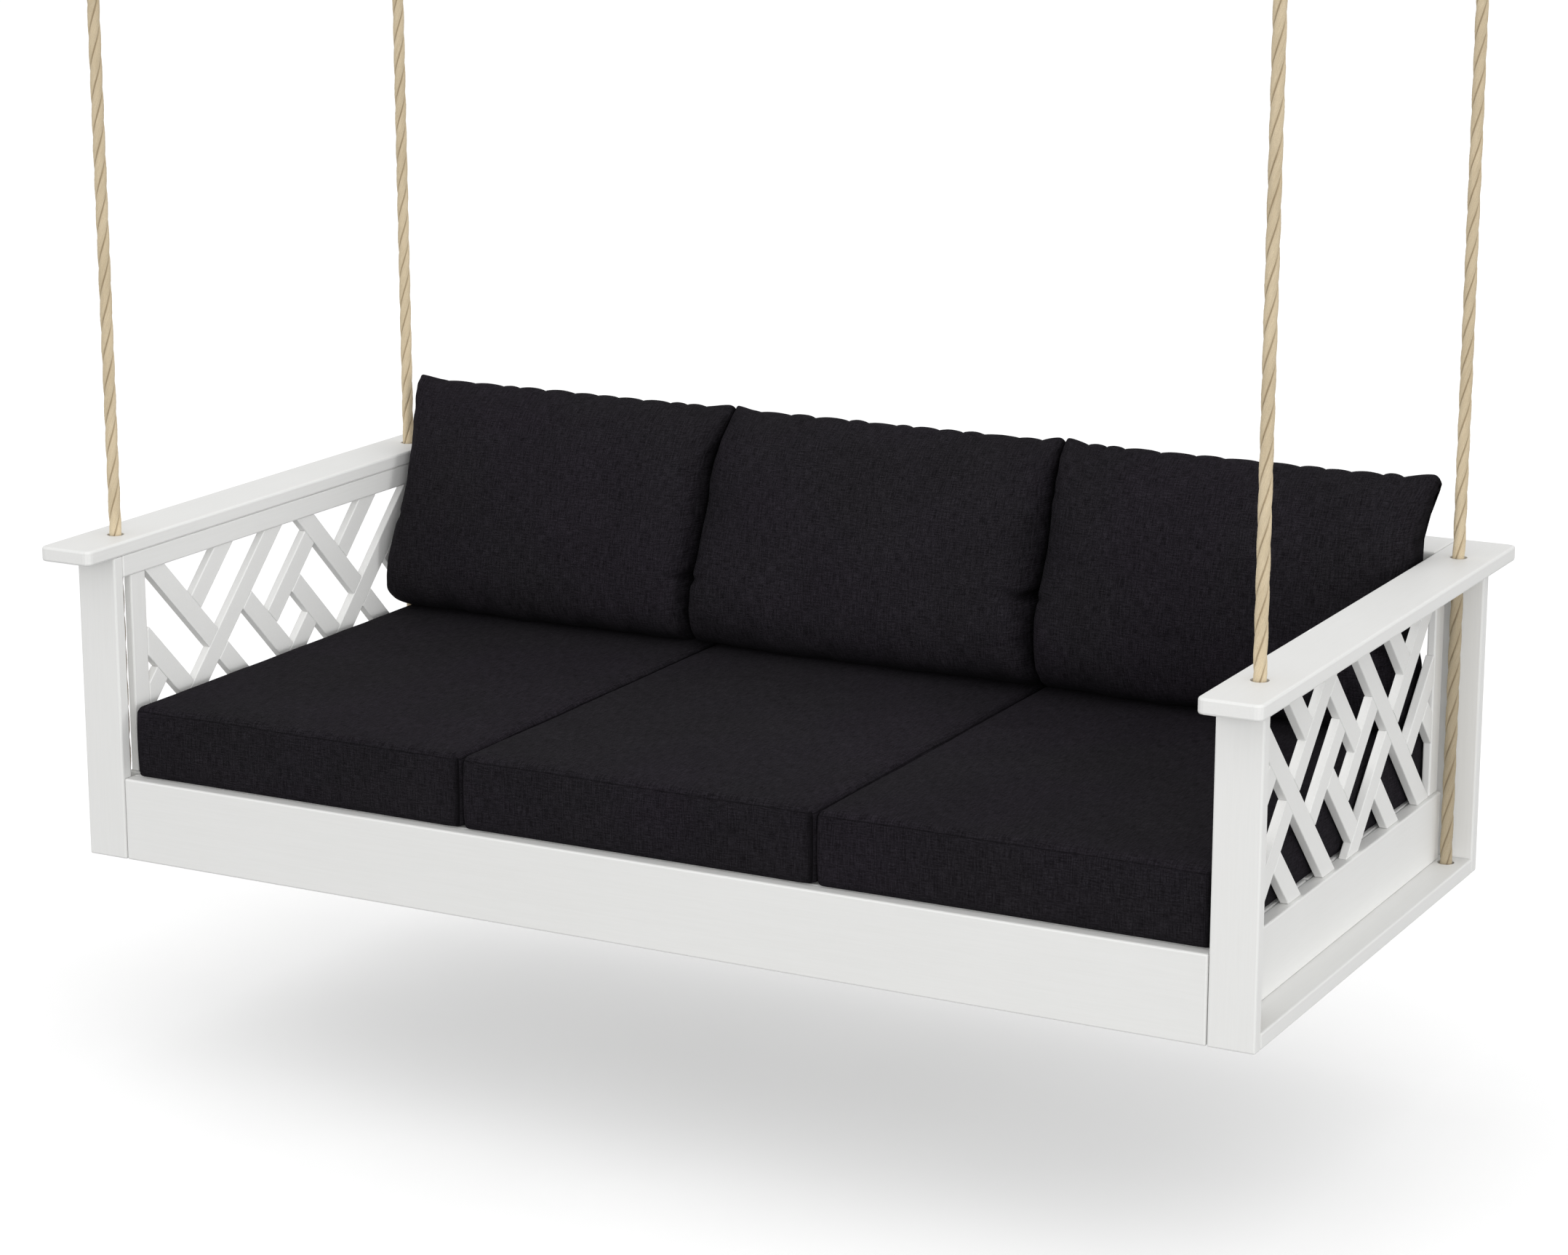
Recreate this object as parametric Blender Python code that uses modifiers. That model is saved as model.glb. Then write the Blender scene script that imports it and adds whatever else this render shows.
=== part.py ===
"""Porch swing seat: a three-place lattice sofa that hangs from four ropes.

Units are metres.  The design is laid out in the bench frame: X to the right, Y to the back with
y = 0 at the front faces of the front posts, Z up with z = 0 at the underside of the posts.
Every object is then placed by HANG_POINT, so the world origin is the middle of the four ceiling
hangers' top faces, which is where the swing is held up.
"""

import math

import bmesh
import bpy
from mathutils import Matrix, Vector

# ---------------------------------------------------------------- driving dimensions
WIDTH = 2.0792            # over the outer faces of the posts
DEPTH = 0.9988            # over the front and back posts
INNER_WIDTH = 1.9300      # between the posts: three 0.635 m cushions and their clearance
ARM_TOP = 0.5384          # top of the arm boards
BOARD = 0.0250            # thickness of the planed boards
APRON_TOP = 0.1399        # the bottom rail all round, and the height of the deck
FIT_GAP = 0.0003          # between pieces that touch
CUSHION_GAP = 0.0015      # between a soft piece and its neighbour

# ---------------------------------------------------------------- frame
POST_THICK = 0.0235
POST_EDGE = 0.0030
POST_TOP = 0.5140
ARM_THICK = ARM_TOP - POST_TOP
ARM_INNER = 0.9622
ARM_OUTER = 1.0618
ARM_FRONT = -0.0700
ARM_BACK = 1.0710
ARM_CORNER = 0.0120
ARM_EDGE = 0.0035
BACK_BOARD_FRONT = 0.9570
BACK_BOARD_BACK = 1.0700
APRON_END_GAP = 0.0018
APRON_SETBACK = 0.0008
BOTTOM_END_GAP = 0.0010
RAIL_TOP = 0.5137
RAIL_LOW = 0.4774
BOTTOM_BOARD_TOP = 0.0253
SIDE_RAIL_INNER = 0.9642
PANEL_FRONT = 0.0465      # front edge of the side panels' front stiles
PANEL_BACK = 0.9523
STILE_WIDTH = 0.0395
PANEL_FACE = 0.9825       # outer face of the side stiles and lattice
PANEL_THICK = 0.0143
BACK_STILE_OUTER = 0.9300
BACK_PANEL_FACE = 0.9930
RAIL_EDGE = 0.0025

# ---------------------------------------------------------------- lattice
LATTICE_BAR = 0.0381
LATTICE_EDGE = 0.0025
LATTICE_PITCH = 0.1457    # between parallel bars, measured along the panel
SIDE_LATTICE_FALL = 0.80475    # u + z of the middle of the falling bars
SIDE_LATTICE_RISE = -0.19085   # z - u of the middle of the rising bars
SIDE_LATTICE_CENTRE = 2.5      # the line number at that middle
SIDE_LATTICE_LEFT_OUT = 30     # the short falling bar by the far top corner, left out of the ends
BACK_LATTICE_CENTRE = 5.5
BACK_LATTICE_HEIGHT = 0.30855

# ---------------------------------------------------------------- deck under the cushions
SLAT_COUNT = 5
SLAT_WIDTH = 0.1840
JOIST_HEIGHT = 0.0889
JOIST_WIDTH = 0.0381
JOIST_X = 0.5600

# ---------------------------------------------------------------- cushions
SEAT_ENDS = (-0.9500, -0.3125, 0.3190, 0.9650)
SEAT_FRONT = 0.0160
SEAT_BACK = 0.9550
SEAT_LOW = APRON_TOP + 0.0006
SEAT_TOP = 0.2575
SEAT_EDGE = 0.0220
BACK_ENDS = (-0.9600, -0.3200, 0.3200, 0.9600)
BACK_SEAM_LOW = (0.8700, 0.2610)    # (y, z) of the back cushions' bottom seam
BACK_SEAM_TOP = (0.9300, 0.6680)
BACK_PROFILE = (
    (0.8250, 0.2590),
    (0.7780, 0.2760),
    (0.7540, 0.3120),
    (0.7480, 0.3600),
    (0.7590, 0.4300),
    (0.7830, 0.5100),
    (0.8140, 0.5800),
    (0.8560, 0.6350),
    (0.9020, 0.6620),
    (0.9300, 0.6690),
    (0.9440, 0.6500),
    (0.9530, 0.6000),
    (0.9560, 0.5400),
    (0.9560, 0.4700),
    (0.9520, 0.4000),
    (0.9510, 0.3200),
    (0.9320, 0.2690),
    (0.8700, 0.2590),
)
BACK_STATIONS = (0.0, 0.025, 0.09, 0.22, 0.5, 0.78, 0.91, 0.975, 1.0)
BACK_SEAM_SHARE = 0.10    # how thick a back cushion's end is, as a share of its middle

# ---------------------------------------------------------------- ropes and their fittings
ROPE_RADIUS = 0.0100
ROPE_X = 1.0068
ROPE_FRONT_Y = 0.0609
ROPE_BACK_Y = 0.9383
ROPE_HOLE = 0.0140
ARM_PIVOT_Z = (ARM_TOP + POST_TOP) / 2     # the ropes bend at mid-depth of the arm boards
EYE_RADIUS = 0.0403       # centreline of the rope's eye round its thimble
EYE_CENTRE_Z = 1.6500
TAIL_SHIFT = 0.0206       # from the standing rope to its seized tail
TAIL_LENGTH = 0.0550
EYE_THROAT = 0.0820       # from the eye's centre down to where the two ropes meet
THIMBLE_INNER = 0.0250
THIMBLE_OUTER = 0.0340
THIMBLE_HALF = 0.0122
PIN_RADIUS = 0.0060
PIN_Z = EYE_CENTRE_Z + THIMBLE_INNER - PIN_RADIUS - FIT_GAP
LUG_INNER = 0.0160
LUG_THICK = 0.0060
LUG_WIDTH = 0.0280
LUG_BELOW_PIN = 0.0140
PLATE_UNDER_Z = PIN_Z + 0.0480
PLATE_THICK = 0.0060
PLATE_X = 0.0560
PLATE_Y = 0.1000
SCREW_Y = 0.0360
SCREW_RADIUS = 0.0045
STOP_PROFILE = (          # (radius, z) of the swaged stop under a bottom board, from the top down
    (0.0250, -0.0003),
    (0.0250, -0.0028),
    (0.0170, -0.0036),
    (0.0165, -0.0105),
    (0.0145, -0.0125),
)

HANG_POINT = Vector((0.0, (ROPE_FRONT_Y + ROPE_BACK_Y) / 2, PLATE_UNDER_Z + PLATE_THICK))
SIDES = (("left", -1), ("right", 1))
PLACES = ("left", "middle", "right")
ENDS = (("front", ROPE_FRONT_Y), ("back", ROPE_BACK_Y))

WHITE = (0.760, 0.762, 0.752)
CHARCOAL = (0.020, 0.020, 0.024)
ROPE_TAN = (0.330, 0.210, 0.110)
STEEL = (0.560, 0.560, 0.570)
PAINT_ROUGHNESS = 0.45
CLOTH_ROUGHNESS = 0.90
ROPE_ROUGHNESS = 0.85
STEEL_ROUGHNESS = 0.40


# ---------------------------------------------------------------- scene and small tools
def clear_scene():
    for obj in list(bpy.data.objects):
        bpy.data.objects.remove(obj, do_unlink=True)


def new_collection(name, hidden=False):
    collection = bpy.data.collections.new(name)
    collection.hide_render = hidden
    bpy.context.scene.collection.children.link(collection)
    return collection


def set_material(obj, colour, roughness, metallic=0.0):
    material = bpy.data.materials.new(obj.name + "_material")
    material.use_nodes = True
    shader = material.node_tree.nodes["Principled BSDF"]
    shader.inputs["Base Color"].default_value = (*colour, 1.0)
    shader.inputs["Roughness"].default_value = roughness
    shader.inputs["Metallic"].default_value = metallic
    obj.data.materials.append(material)


def new_empty(name, point):
    """An empty at a bench-frame point, which carries the pieces that move about it."""
    empty = bpy.data.objects.new(name, None)
    empty.location = Vector(point) - HANG_POINT
    empty.empty_display_size = 0.05
    PARTS.objects.link(empty)
    return empty


def place(obj, point, parent):
    """Puts the object's origin at a bench-frame point, carried by the parent empty."""
    obj.location = Vector(point) - HANG_POINT
    PARTS.objects.link(obj)
    if parent is not None:
        obj.parent = parent
        obj.location -= parent.location
    return obj


def mesh_object(name, bm):
    mesh = bpy.data.meshes.new(name)
    bmesh.ops.recalc_face_normals(bm, faces=bm.faces)
    bm.to_mesh(mesh)
    bm.free()
    return bpy.data.objects.new(name, mesh)


def box_mesh(size):
    bm = bmesh.new()
    bmesh.ops.create_cube(bm, size=1.0)
    bmesh.ops.scale(bm, vec=size, verts=bm.verts)
    return bm


def add_bevel(obj, width, segments=2, angle=40.0):
    bevel = obj.modifiers.new("edges", "BEVEL")
    bevel.width = width
    bevel.segments = segments
    bevel.limit_method = "ANGLE"
    bevel.angle_limit = math.radians(angle)


def board(name, low, high, parent, colour=WHITE, edge=RAIL_EDGE, corner=0.0, segments=2):
    """A sawn board between two bench-frame corners, with eased edges."""
    low = Vector(low)
    high = Vector(high)
    bm = box_mesh(high - low)
    if corner:
        upright = [e for e in bm.edges if abs((e.verts[0].co - e.verts[1].co).z) > FIT_GAP]
        bmesh.ops.bevel(bm, geom=upright, offset=corner, segments=4, profile=0.5, affect="EDGES")
    obj = place(mesh_object(name, bm), (low + high) / 2, parent)
    add_bevel(obj, edge, segments)
    set_material(obj, colour, PAINT_ROUGHNESS)
    return obj


def cut_round_hole(obj, centre, radius, depth, sides=24):
    """Bores a hole along Z through the object, centred on a bench-frame point."""
    bm = bmesh.new()
    bmesh.ops.create_cone(
        bm, cap_ends=True, segments=sides, radius1=radius, radius2=radius, depth=depth
    )
    cutter = mesh_object(obj.name + "_hole", bm)
    cutter.location = Vector(centre) - HANG_POINT
    cutter.hide_render = True
    cutter.display_type = "WIRE"
    CUTTERS.objects.link(cutter)
    cut = obj.modifiers.new("hole", "BOOLEAN")
    cut.operation = "DIFFERENCE"
    cut.solver = "EXACT"
    cut.object = cutter


def turned(name, profile, parent, point, axis="Z", sides=24):
    """A solid of revolution: the (radius, height) profile, top first, turned about the axis."""
    bm = bmesh.new()
    corners = [bm.verts.new((radius, 0.0, height)) for radius, height in profile]
    for start, end in zip(corners, corners[1:]):
        bm.edges.new((start, end))
    obj = mesh_object(name, bm)
    screw = obj.modifiers.new("turn", "SCREW")
    screw.axis = "Z"
    screw.steps = sides
    screw.render_steps = sides
    screw.use_merge_vertices = True
    screw.merge_threshold = 0.0001
    if axis == "X":
        obj.rotation_euler = (0.0, math.pi / 2, 0.0)
    return place(obj, point, parent)


# ---------------------------------------------------------------- frame
def add_posts(seat):
    for side, sign in SIDES:
        for end, y in (("front", 0.0), ("back", DEPTH - POST_THICK)):
            faces = sorted((sign * INNER_WIDTH / 2, sign * WIDTH / 2))
            low = (faces[0], y, 0.0)
            high = (faces[1], y + POST_THICK, POST_TOP - FIT_GAP)
            board(f"{end}_post_{side}", low, high, seat, edge=POST_EDGE)


def add_arms(seat):
    for side, sign in SIDES:
        faces = sorted((sign * ARM_INNER, sign * ARM_OUTER))
        arm = board(
            f"arm_board_{side}",
            (faces[0], ARM_FRONT, POST_TOP),
            (faces[1], ARM_BACK, ARM_TOP),
            seat,
            edge=ARM_EDGE,
            corner=ARM_CORNER,
        )
        for _, y in ENDS:
            cut_round_hole(arm, (sign * ROPE_X, y, ARM_PIVOT_Z), ROPE_HOLE, 4 * ARM_THICK)
    board(
        "back_top_board",
        (-ARM_INNER + 2 * FIT_GAP, BACK_BOARD_FRONT, POST_TOP),
        (ARM_INNER - 2 * FIT_GAP, BACK_BOARD_BACK, ARM_TOP),
        seat,
        edge=ARM_EDGE,
    )


def add_bottom_boards(seat):
    for side, sign in SIDES:
        faces = sorted((sign * SIDE_RAIL_INNER, sign * WIDTH / 2))
        bottom = board(
            f"bottom_board_{side}",
            (faces[0], POST_THICK + BOTTOM_END_GAP, 0.0),
            (faces[1], DEPTH - POST_THICK - BOTTOM_END_GAP, BOTTOM_BOARD_TOP),
            seat,
        )
        for _, y in ENDS:
            centre = (sign * ROPE_X, y, BOTTOM_BOARD_TOP / 2)
            cut_round_hole(bottom, centre, ROPE_HOLE, 4 * BOTTOM_BOARD_TOP)


def add_aprons(seat):
    half = INNER_WIDTH / 2 - APRON_END_GAP
    front = APRON_SETBACK
    board("front_apron", (-half, front, 0.0), (half, front + BOARD, APRON_TOP), seat, edge=POST_EDGE)
    back = DEPTH - APRON_SETBACK
    board("back_apron", (-half, back - BOARD, 0.0), (half, back, APRON_TOP), seat, edge=POST_EDGE)


def add_side_panels(seat):
    rail_front = POST_THICK + FIT_GAP
    rail_back = DEPTH - POST_THICK - FIT_GAP
    stile_low = APRON_TOP + FIT_GAP
    stile_high = RAIL_LOW - FIT_GAP
    for side, sign in SIDES:
        outer = sorted((sign * INNER_WIDTH / 2, sign * (INNER_WIDTH / 2 + BOARD)))
        low = (outer[0], rail_front, RAIL_LOW)
        board(f"side_top_rail_{side}", low, (outer[1], rail_back, RAIL_TOP), seat)
        outer = sorted((sign * SIDE_RAIL_INNER, sign * (SIDE_RAIL_INNER + BOARD)))
        low = (outer[0], PANEL_FRONT, BOTTOM_BOARD_TOP + FIT_GAP)
        board(f"side_bottom_rail_{side}", low, (outer[1], PANEL_BACK, APRON_TOP), seat)
        outer = sorted((sign * (PANEL_FACE - PANEL_THICK), sign * PANEL_FACE))
        for end, y in (("front", PANEL_FRONT), ("back", PANEL_BACK - STILE_WIDTH)):
            low = (outer[0], y, stile_low)
            high = (outer[1], y + STILE_WIDTH, stile_high)
            board(f"side_{end}_stile_{side}", low, high, seat, edge=LATTICE_EDGE)


def add_back_panel(seat):
    rail_half = INNER_WIDTH / 2 - FIT_GAP
    back = DEPTH - APRON_SETBACK
    low = (-rail_half, back - BOARD, RAIL_LOW)
    board("back_top_rail", low, (rail_half, back, RAIL_TOP), seat)
    for side, sign in SIDES:
        ends = sorted((sign * BACK_STILE_OUTER, sign * (BACK_STILE_OUTER - STILE_WIDTH)))
        low = (ends[0], BACK_PANEL_FACE - PANEL_THICK, APRON_TOP + FIT_GAP)
        high = (ends[1], BACK_PANEL_FACE, RAIL_LOW - FIT_GAP)
        board(f"back_stile_{side}", low, high, seat, edge=LATTICE_EDGE)


# ---------------------------------------------------------------- lattice
def lattice_pieces(fall_middle, rise_middle, centre, units):
    """The crossing bars as (s low, s high, t low, t high), with s = u + z and t = z - u.

    A falling bar keeps one s and a rising bar one t.  Each unit is an X with a broken diamond
    round it, and the units lock into each other three pitches apart.
    """
    half = LATTICE_BAR / math.sqrt(2)
    far = 4.0

    def fall(k):
        return fall_middle + LATTICE_PITCH * (k - centre)

    def rise(m):
        return rise_middle - LATTICE_PITCH * (m - centre)

    def falling(k, low, high):
        return (fall(k) - half, fall(k) + half, low, high)

    def rising(m, low, high):
        return (low, high, rise(m) - half, rise(m) + half)

    pieces = []
    for unit in units:
        k = m = 1 + 3 * unit
        pieces.append(falling(k, -far, far))
        pieces.append(rising(m, -far, fall(k) - half))
        pieces.append(rising(m, fall(k) + half, far))
        pieces.append(falling(k - 1, rise(m - 1) + half, rise(m - 3) - half))
        pieces.append(falling(k - 1, -far, rise(m) - half))
        pieces.append(falling(k + 1, rise(m) + half, far))
        pieces.append(falling(k + 1, rise(m + 3) + half, rise(m + 1) - half))
        pieces.append(rising(m - 1, fall(k - 2) + half, fall(k) - half))
        pieces.append(rising(m + 1, fall(k) + half, fall(k + 2) - half))
    return pieces


def lattice_mesh(pieces, u_range, z_range):
    """The flat web that the bars make, trimmed to its opening and given the bars' thickness."""
    inside = []
    for piece in pieces:
        middle_u = [(s - t) / 2 for s in piece[:2] for t in piece[2:]]
        middle_z = [(s + t) / 2 for s in piece[:2] for t in piece[2:]]
        if max(middle_u) > u_range[0] and min(middle_u) < u_range[1]:
            if max(middle_z) > z_range[0] and min(middle_z) < z_range[1]:
                inside.append(piece)
    s_lines = sorted({round(s, 6) for piece in inside for s in piece[:2]})
    t_lines = sorted({round(t, 6) for piece in inside for t in piece[2:]})
    bm = bmesh.new()
    corners = {}

    def corner(i, j):
        if (i, j) not in corners:
            s, t = s_lines[i], t_lines[j]
            corners[i, j] = bm.verts.new(((s - t) / 2, 0.0, (s + t) / 2))
        return corners[i, j]

    for i in range(len(s_lines) - 1):
        for j in range(len(t_lines) - 1):
            s = (s_lines[i] + s_lines[i + 1]) / 2
            t = (t_lines[j] + t_lines[j + 1]) / 2
            if any(p[0] < s < p[1] and p[2] < t < p[3] for p in inside):
                bm.faces.new((corner(i, j), corner(i + 1, j), corner(i + 1, j + 1), corner(i, j + 1)))
    planes = (
        ((u_range[0], 0.0, 0.0), (-1.0, 0.0, 0.0)),
        ((u_range[1], 0.0, 0.0), (1.0, 0.0, 0.0)),
        ((0.0, 0.0, z_range[0]), (0.0, 0.0, -1.0)),
        ((0.0, 0.0, z_range[1]), (0.0, 0.0, 1.0)),
    )
    for point, normal in planes:
        everything = bm.verts[:] + bm.edges[:] + bm.faces[:]
        bmesh.ops.bisect_plane(bm, geom=everything, plane_co=point, plane_no=normal, clear_outer=True)
    bmesh.ops.remove_doubles(bm, verts=bm.verts, dist=1e-5)
    bmesh.ops.dissolve_limit(bm, angle_limit=0.01, verts=bm.verts, edges=bm.edges)
    grown = bmesh.ops.extrude_face_region(bm, geom=bm.faces[:])
    top = [item for item in grown["geom"] if isinstance(item, bmesh.types.BMVert)]
    bmesh.ops.translate(bm, verts=top, vec=(0.0, PANEL_THICK, 0.0))
    return bm


def add_side_lattices(seat):
    u_range = (PANEL_FRONT + STILE_WIDTH + FIT_GAP, PANEL_BACK - STILE_WIDTH - FIT_GAP)
    z_range = (APRON_TOP + FIT_GAP, RAIL_LOW - FIT_GAP)
    pieces = lattice_pieces(
        SIDE_LATTICE_FALL, SIDE_LATTICE_RISE, SIDE_LATTICE_CENTRE, range(-1, 3)
    )
    del pieces[SIDE_LATTICE_LEFT_OUT]
    for side, sign in SIDES:
        bm = lattice_mesh(pieces, u_range, z_range)
        # The panel is drawn along X; a quarter turn lays it along Y.  The left end is the same
        # panel turned half round the middle of the bench.
        turn = Matrix.Rotation(sign * math.pi / 2, 4, "Z")
        bmesh.ops.transform(bm, matrix=turn, verts=bm.verts)
        lattice = mesh_object(f"side_lattice_{side}", bm)
        place(lattice, (sign * PANEL_FACE, 0.0 if sign > 0 else DEPTH, 0.0), seat)
        add_bevel(lattice, LATTICE_EDGE, 1)
        set_material(lattice, WHITE, PAINT_ROUGHNESS)


def add_back_lattice(seat):
    half = BACK_STILE_OUTER - STILE_WIDTH - FIT_GAP
    z_range = (APRON_TOP + FIT_GAP, RAIL_LOW - FIT_GAP)
    pieces = lattice_pieces(
        BACK_LATTICE_HEIGHT, BACK_LATTICE_HEIGHT, BACK_LATTICE_CENTRE, range(-1, 5)
    )
    lattice = mesh_object("back_lattice", lattice_mesh(pieces, (-half, half), z_range))
    place(lattice, (0.0, BACK_PANEL_FACE - PANEL_THICK, 0.0), seat)
    add_bevel(lattice, LATTICE_EDGE, 1)
    set_material(lattice, WHITE, PAINT_ROUGHNESS)


# ---------------------------------------------------------------- deck
def add_deck(seat):
    front = APRON_SETBACK + BOARD + FIT_GAP
    back = DEPTH - APRON_SETBACK - BOARD - FIT_GAP
    slat_low = APRON_TOP - BOARD
    for side, sign in SIDES:
        low = (sign * JOIST_X - JOIST_WIDTH / 2, front, slat_low - FIT_GAP - JOIST_HEIGHT)
        high = (sign * JOIST_X + JOIST_WIDTH / 2, back, slat_low - FIT_GAP)
        board(f"deck_joist_{side}", low, high, seat)
    half = SIDE_RAIL_INNER - 2 * FIT_GAP
    spread = back - front - SLAT_WIDTH
    for index in range(SLAT_COUNT):
        y = front + spread * index / (SLAT_COUNT - 1)
        low = (-half, y, slat_low)
        high = (half, y + SLAT_WIDTH, APRON_TOP)
        board(f"deck_slat_{index + 1}", low, high, seat)


# ---------------------------------------------------------------- cushions
def add_seat_cushions(seat):
    for name, start, end in zip(PLACES, SEAT_ENDS, SEAT_ENDS[1:]):
        low = (start + CUSHION_GAP, SEAT_FRONT, SEAT_LOW)
        high = (end - CUSHION_GAP, SEAT_BACK, SEAT_TOP)
        board(f"seat_cushion_{name}", low, high, seat, CHARCOAL, SEAT_EDGE, 0.0, 3)


def back_section(share):
    """The cushion's outline in the YZ plane, shrunk towards the plane of its seam."""
    low = Vector(BACK_SEAM_LOW)
    rise = Vector(BACK_SEAM_TOP) - low
    points = []
    for y, z in BACK_PROFILE:
        along = min(max((z - low.y) / rise.y, 0.0), 1.0)
        seam = low + along * rise
        points.append(seam + (Vector((y, z)) - seam) * share)
    return points


def add_back_cushions(seat):
    for name, start, end in zip(PLACES, BACK_ENDS, BACK_ENDS[1:]):
        low = start + CUSHION_GAP
        length = end - start - 2 * CUSHION_GAP
        bm = bmesh.new()
        rings = []
        for station in BACK_STATIONS:
            fullness = (1 - abs(2 * station - 1) ** 3) ** 0.5
            share = BACK_SEAM_SHARE + (1 - BACK_SEAM_SHARE) * fullness
            x = length * (station - 0.5)
            ring = [bm.verts.new((x, y, z)) for y, z in back_section(share)]
            rings.append(ring)
        for ring, following in zip(rings, rings[1:]):
            for index in range(len(ring)):
                after = (index + 1) % len(ring)
                bm.faces.new((ring[index], ring[after], following[after], following[index]))
        bm.faces.new(rings[0])
        bm.faces.new(rings[-1])
        cushion = place(mesh_object(f"back_cushion_{name}", bm), (low + length / 2, 0, 0), seat)
        set_material(cushion, CHARCOAL, CLOTH_ROUGHNESS)


# ---------------------------------------------------------------- ropes
def smooth_route(points, step):
    """Catmull-Rom curve through the route's points, read off about every step."""
    route = [Vector(point) for point in points]
    padded = [2 * route[0] - route[1], *route, 2 * route[-1] - route[-2]]
    result = []
    for before, start, end, after in zip(padded, padded[1:], padded[2:], padded[3:]):
        pieces = max(1, round((end - start).length / step))
        for index in range(pieces):
            t = index / pieces
            along = (end - before) * t
            along += (2 * before - 5 * start + 4 * end - after) * t * t
            along += (3 * start - before - 3 * end + after) * t ** 3
            result.append(start + along / 2)
    result.append(route[-1])
    return result


def rope_tube(name, points, parent, origin, radii=None):
    """A rope's plain round body along points given from the origin."""
    curve = bpy.data.curves.new(name, "CURVE")
    curve.dimensions = "3D"
    curve.bevel_depth = ROPE_RADIUS
    curve.bevel_resolution = 3
    curve.use_fill_caps = True
    spline = curve.splines.new("POLY")
    spline.points.add(len(points) - 1)
    for index, point in enumerate(points):
        spline.points[index].co = (*(Vector(point) - Vector(origin)), 1.0)
        if radii and index < len(radii):
            spline.points[index].radius = radii[index]
    rope = place(bpy.data.objects.new(name, curve), origin, parent)
    set_material(rope, ROPE_TAN, ROPE_ROUGHNESS)
    return rope


def eye_route(x, y):
    """The hanging rope from the arm's pivot up round its eye to the end of the seized tail."""
    centre = EYE_CENTRE_Z
    throat = centre - EYE_THROAT
    steps = 12
    first = math.radians(205.0)
    last = math.radians(-25.0)
    turn = [first + (last - first) * i / steps for i in range(steps + 1)]
    straight = 16
    low = ARM_PIVOT_Z + 2 * ROPE_RADIUS
    high = throat - 3 * ROPE_RADIUS
    route = [(x, y, low + (high - low) * i / straight) for i in range(straight + 1)]
    route.append((x, y - 0.0010, throat - 0.008))
    route.append((x, y - 0.0080, throat + 0.016))
    route.append((x, y - 0.0235, throat + 0.042))
    for angle in turn:
        route.append((x, y + EYE_RADIUS * math.cos(angle), centre + EYE_RADIUS * math.sin(angle)))
    route.append((x, y + 0.0300, throat + 0.042))
    route.append((x, y + 0.0235, throat + 0.018))
    route.append((x, y + TAIL_SHIFT, throat - 0.006))
    route.append((x, y + TAIL_SHIFT, throat - TAIL_LENGTH))
    return route


def add_ropes(seat):
    for side, sign in SIDES:
        for end, y in ENDS:
            x = sign * ROPE_X
            swing = new_empty(f"swing_axis_{end}_{side}", (x, y, PIN_Z))
            # The rope's lower end is rounded about the point that it bends at.
            angles = [math.radians(a) for a in (78.0, 52.0, 26.0, 0.0)]
            tip = [(x, y, ARM_PIVOT_Z - ROPE_RADIUS * math.sin(a)) for a in angles]
            radii = [math.cos(a) for a in angles]
            points = tip + smooth_route(eye_route(x, y), 0.050)
            rope_tube(f"hanging_rope_{end}_{side}", points, swing, (x, y, PIN_Z), radii)
            start = ARM_PIVOT_Z - ROPE_RADIUS - FIT_GAP
            finish = STOP_PROFILE[0][1] + FIT_GAP
            count = 11
            points = [(x, y, start + (finish - start) * i / (count - 1)) for i in range(count)]
            rope_tube(f"lower_rope_{end}_{side}", points, seat, (x, y, ARM_PIVOT_Z))
            add_thimble(f"thimble_{end}_{side}", x, y, swing)
            add_stop(f"rope_stop_{end}_{side}", x, y, seat)
            add_hanger(f"ceiling_hanger_{end}_{side}", x, y)


def add_thimble(name, x, y, swing):
    """A round grooved ring that keeps the rope's eye open on the hanger's pin."""
    clearance = ROPE_RADIUS + 0.0006
    groove = []
    reach = math.sqrt(clearance ** 2 - (EYE_RADIUS - THIMBLE_OUTER) ** 2)
    for index in range(7):
        across = reach * (1 - index / 3)
        groove.append((EYE_RADIUS - math.sqrt(clearance ** 2 - across ** 2), across))
    profile = [(THIMBLE_INNER, THIMBLE_HALF), (THIMBLE_OUTER, THIMBLE_HALF), *groove]
    profile += [(THIMBLE_OUTER, -THIMBLE_HALF), (THIMBLE_INNER, -THIMBLE_HALF)]
    profile.append(profile[0])
    ring = turned(name, profile, swing, (x, y, EYE_CENTRE_Z), "X", 28)
    set_material(ring, STEEL, STEEL_ROUGHNESS, 1.0)


def add_stop(name, x, y, seat):
    """The flanged steel stop that is swaged on the rope's end, under the bottom board."""
    profile = [(0.0, STOP_PROFILE[0][1]), *STOP_PROFILE, (0.0, STOP_PROFILE[-1][1])]
    stop = turned(name, profile, seat, (x, y, 0.0), "Z", 24)
    set_material(stop, STEEL, STEEL_ROUGHNESS, 1.0)


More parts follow.
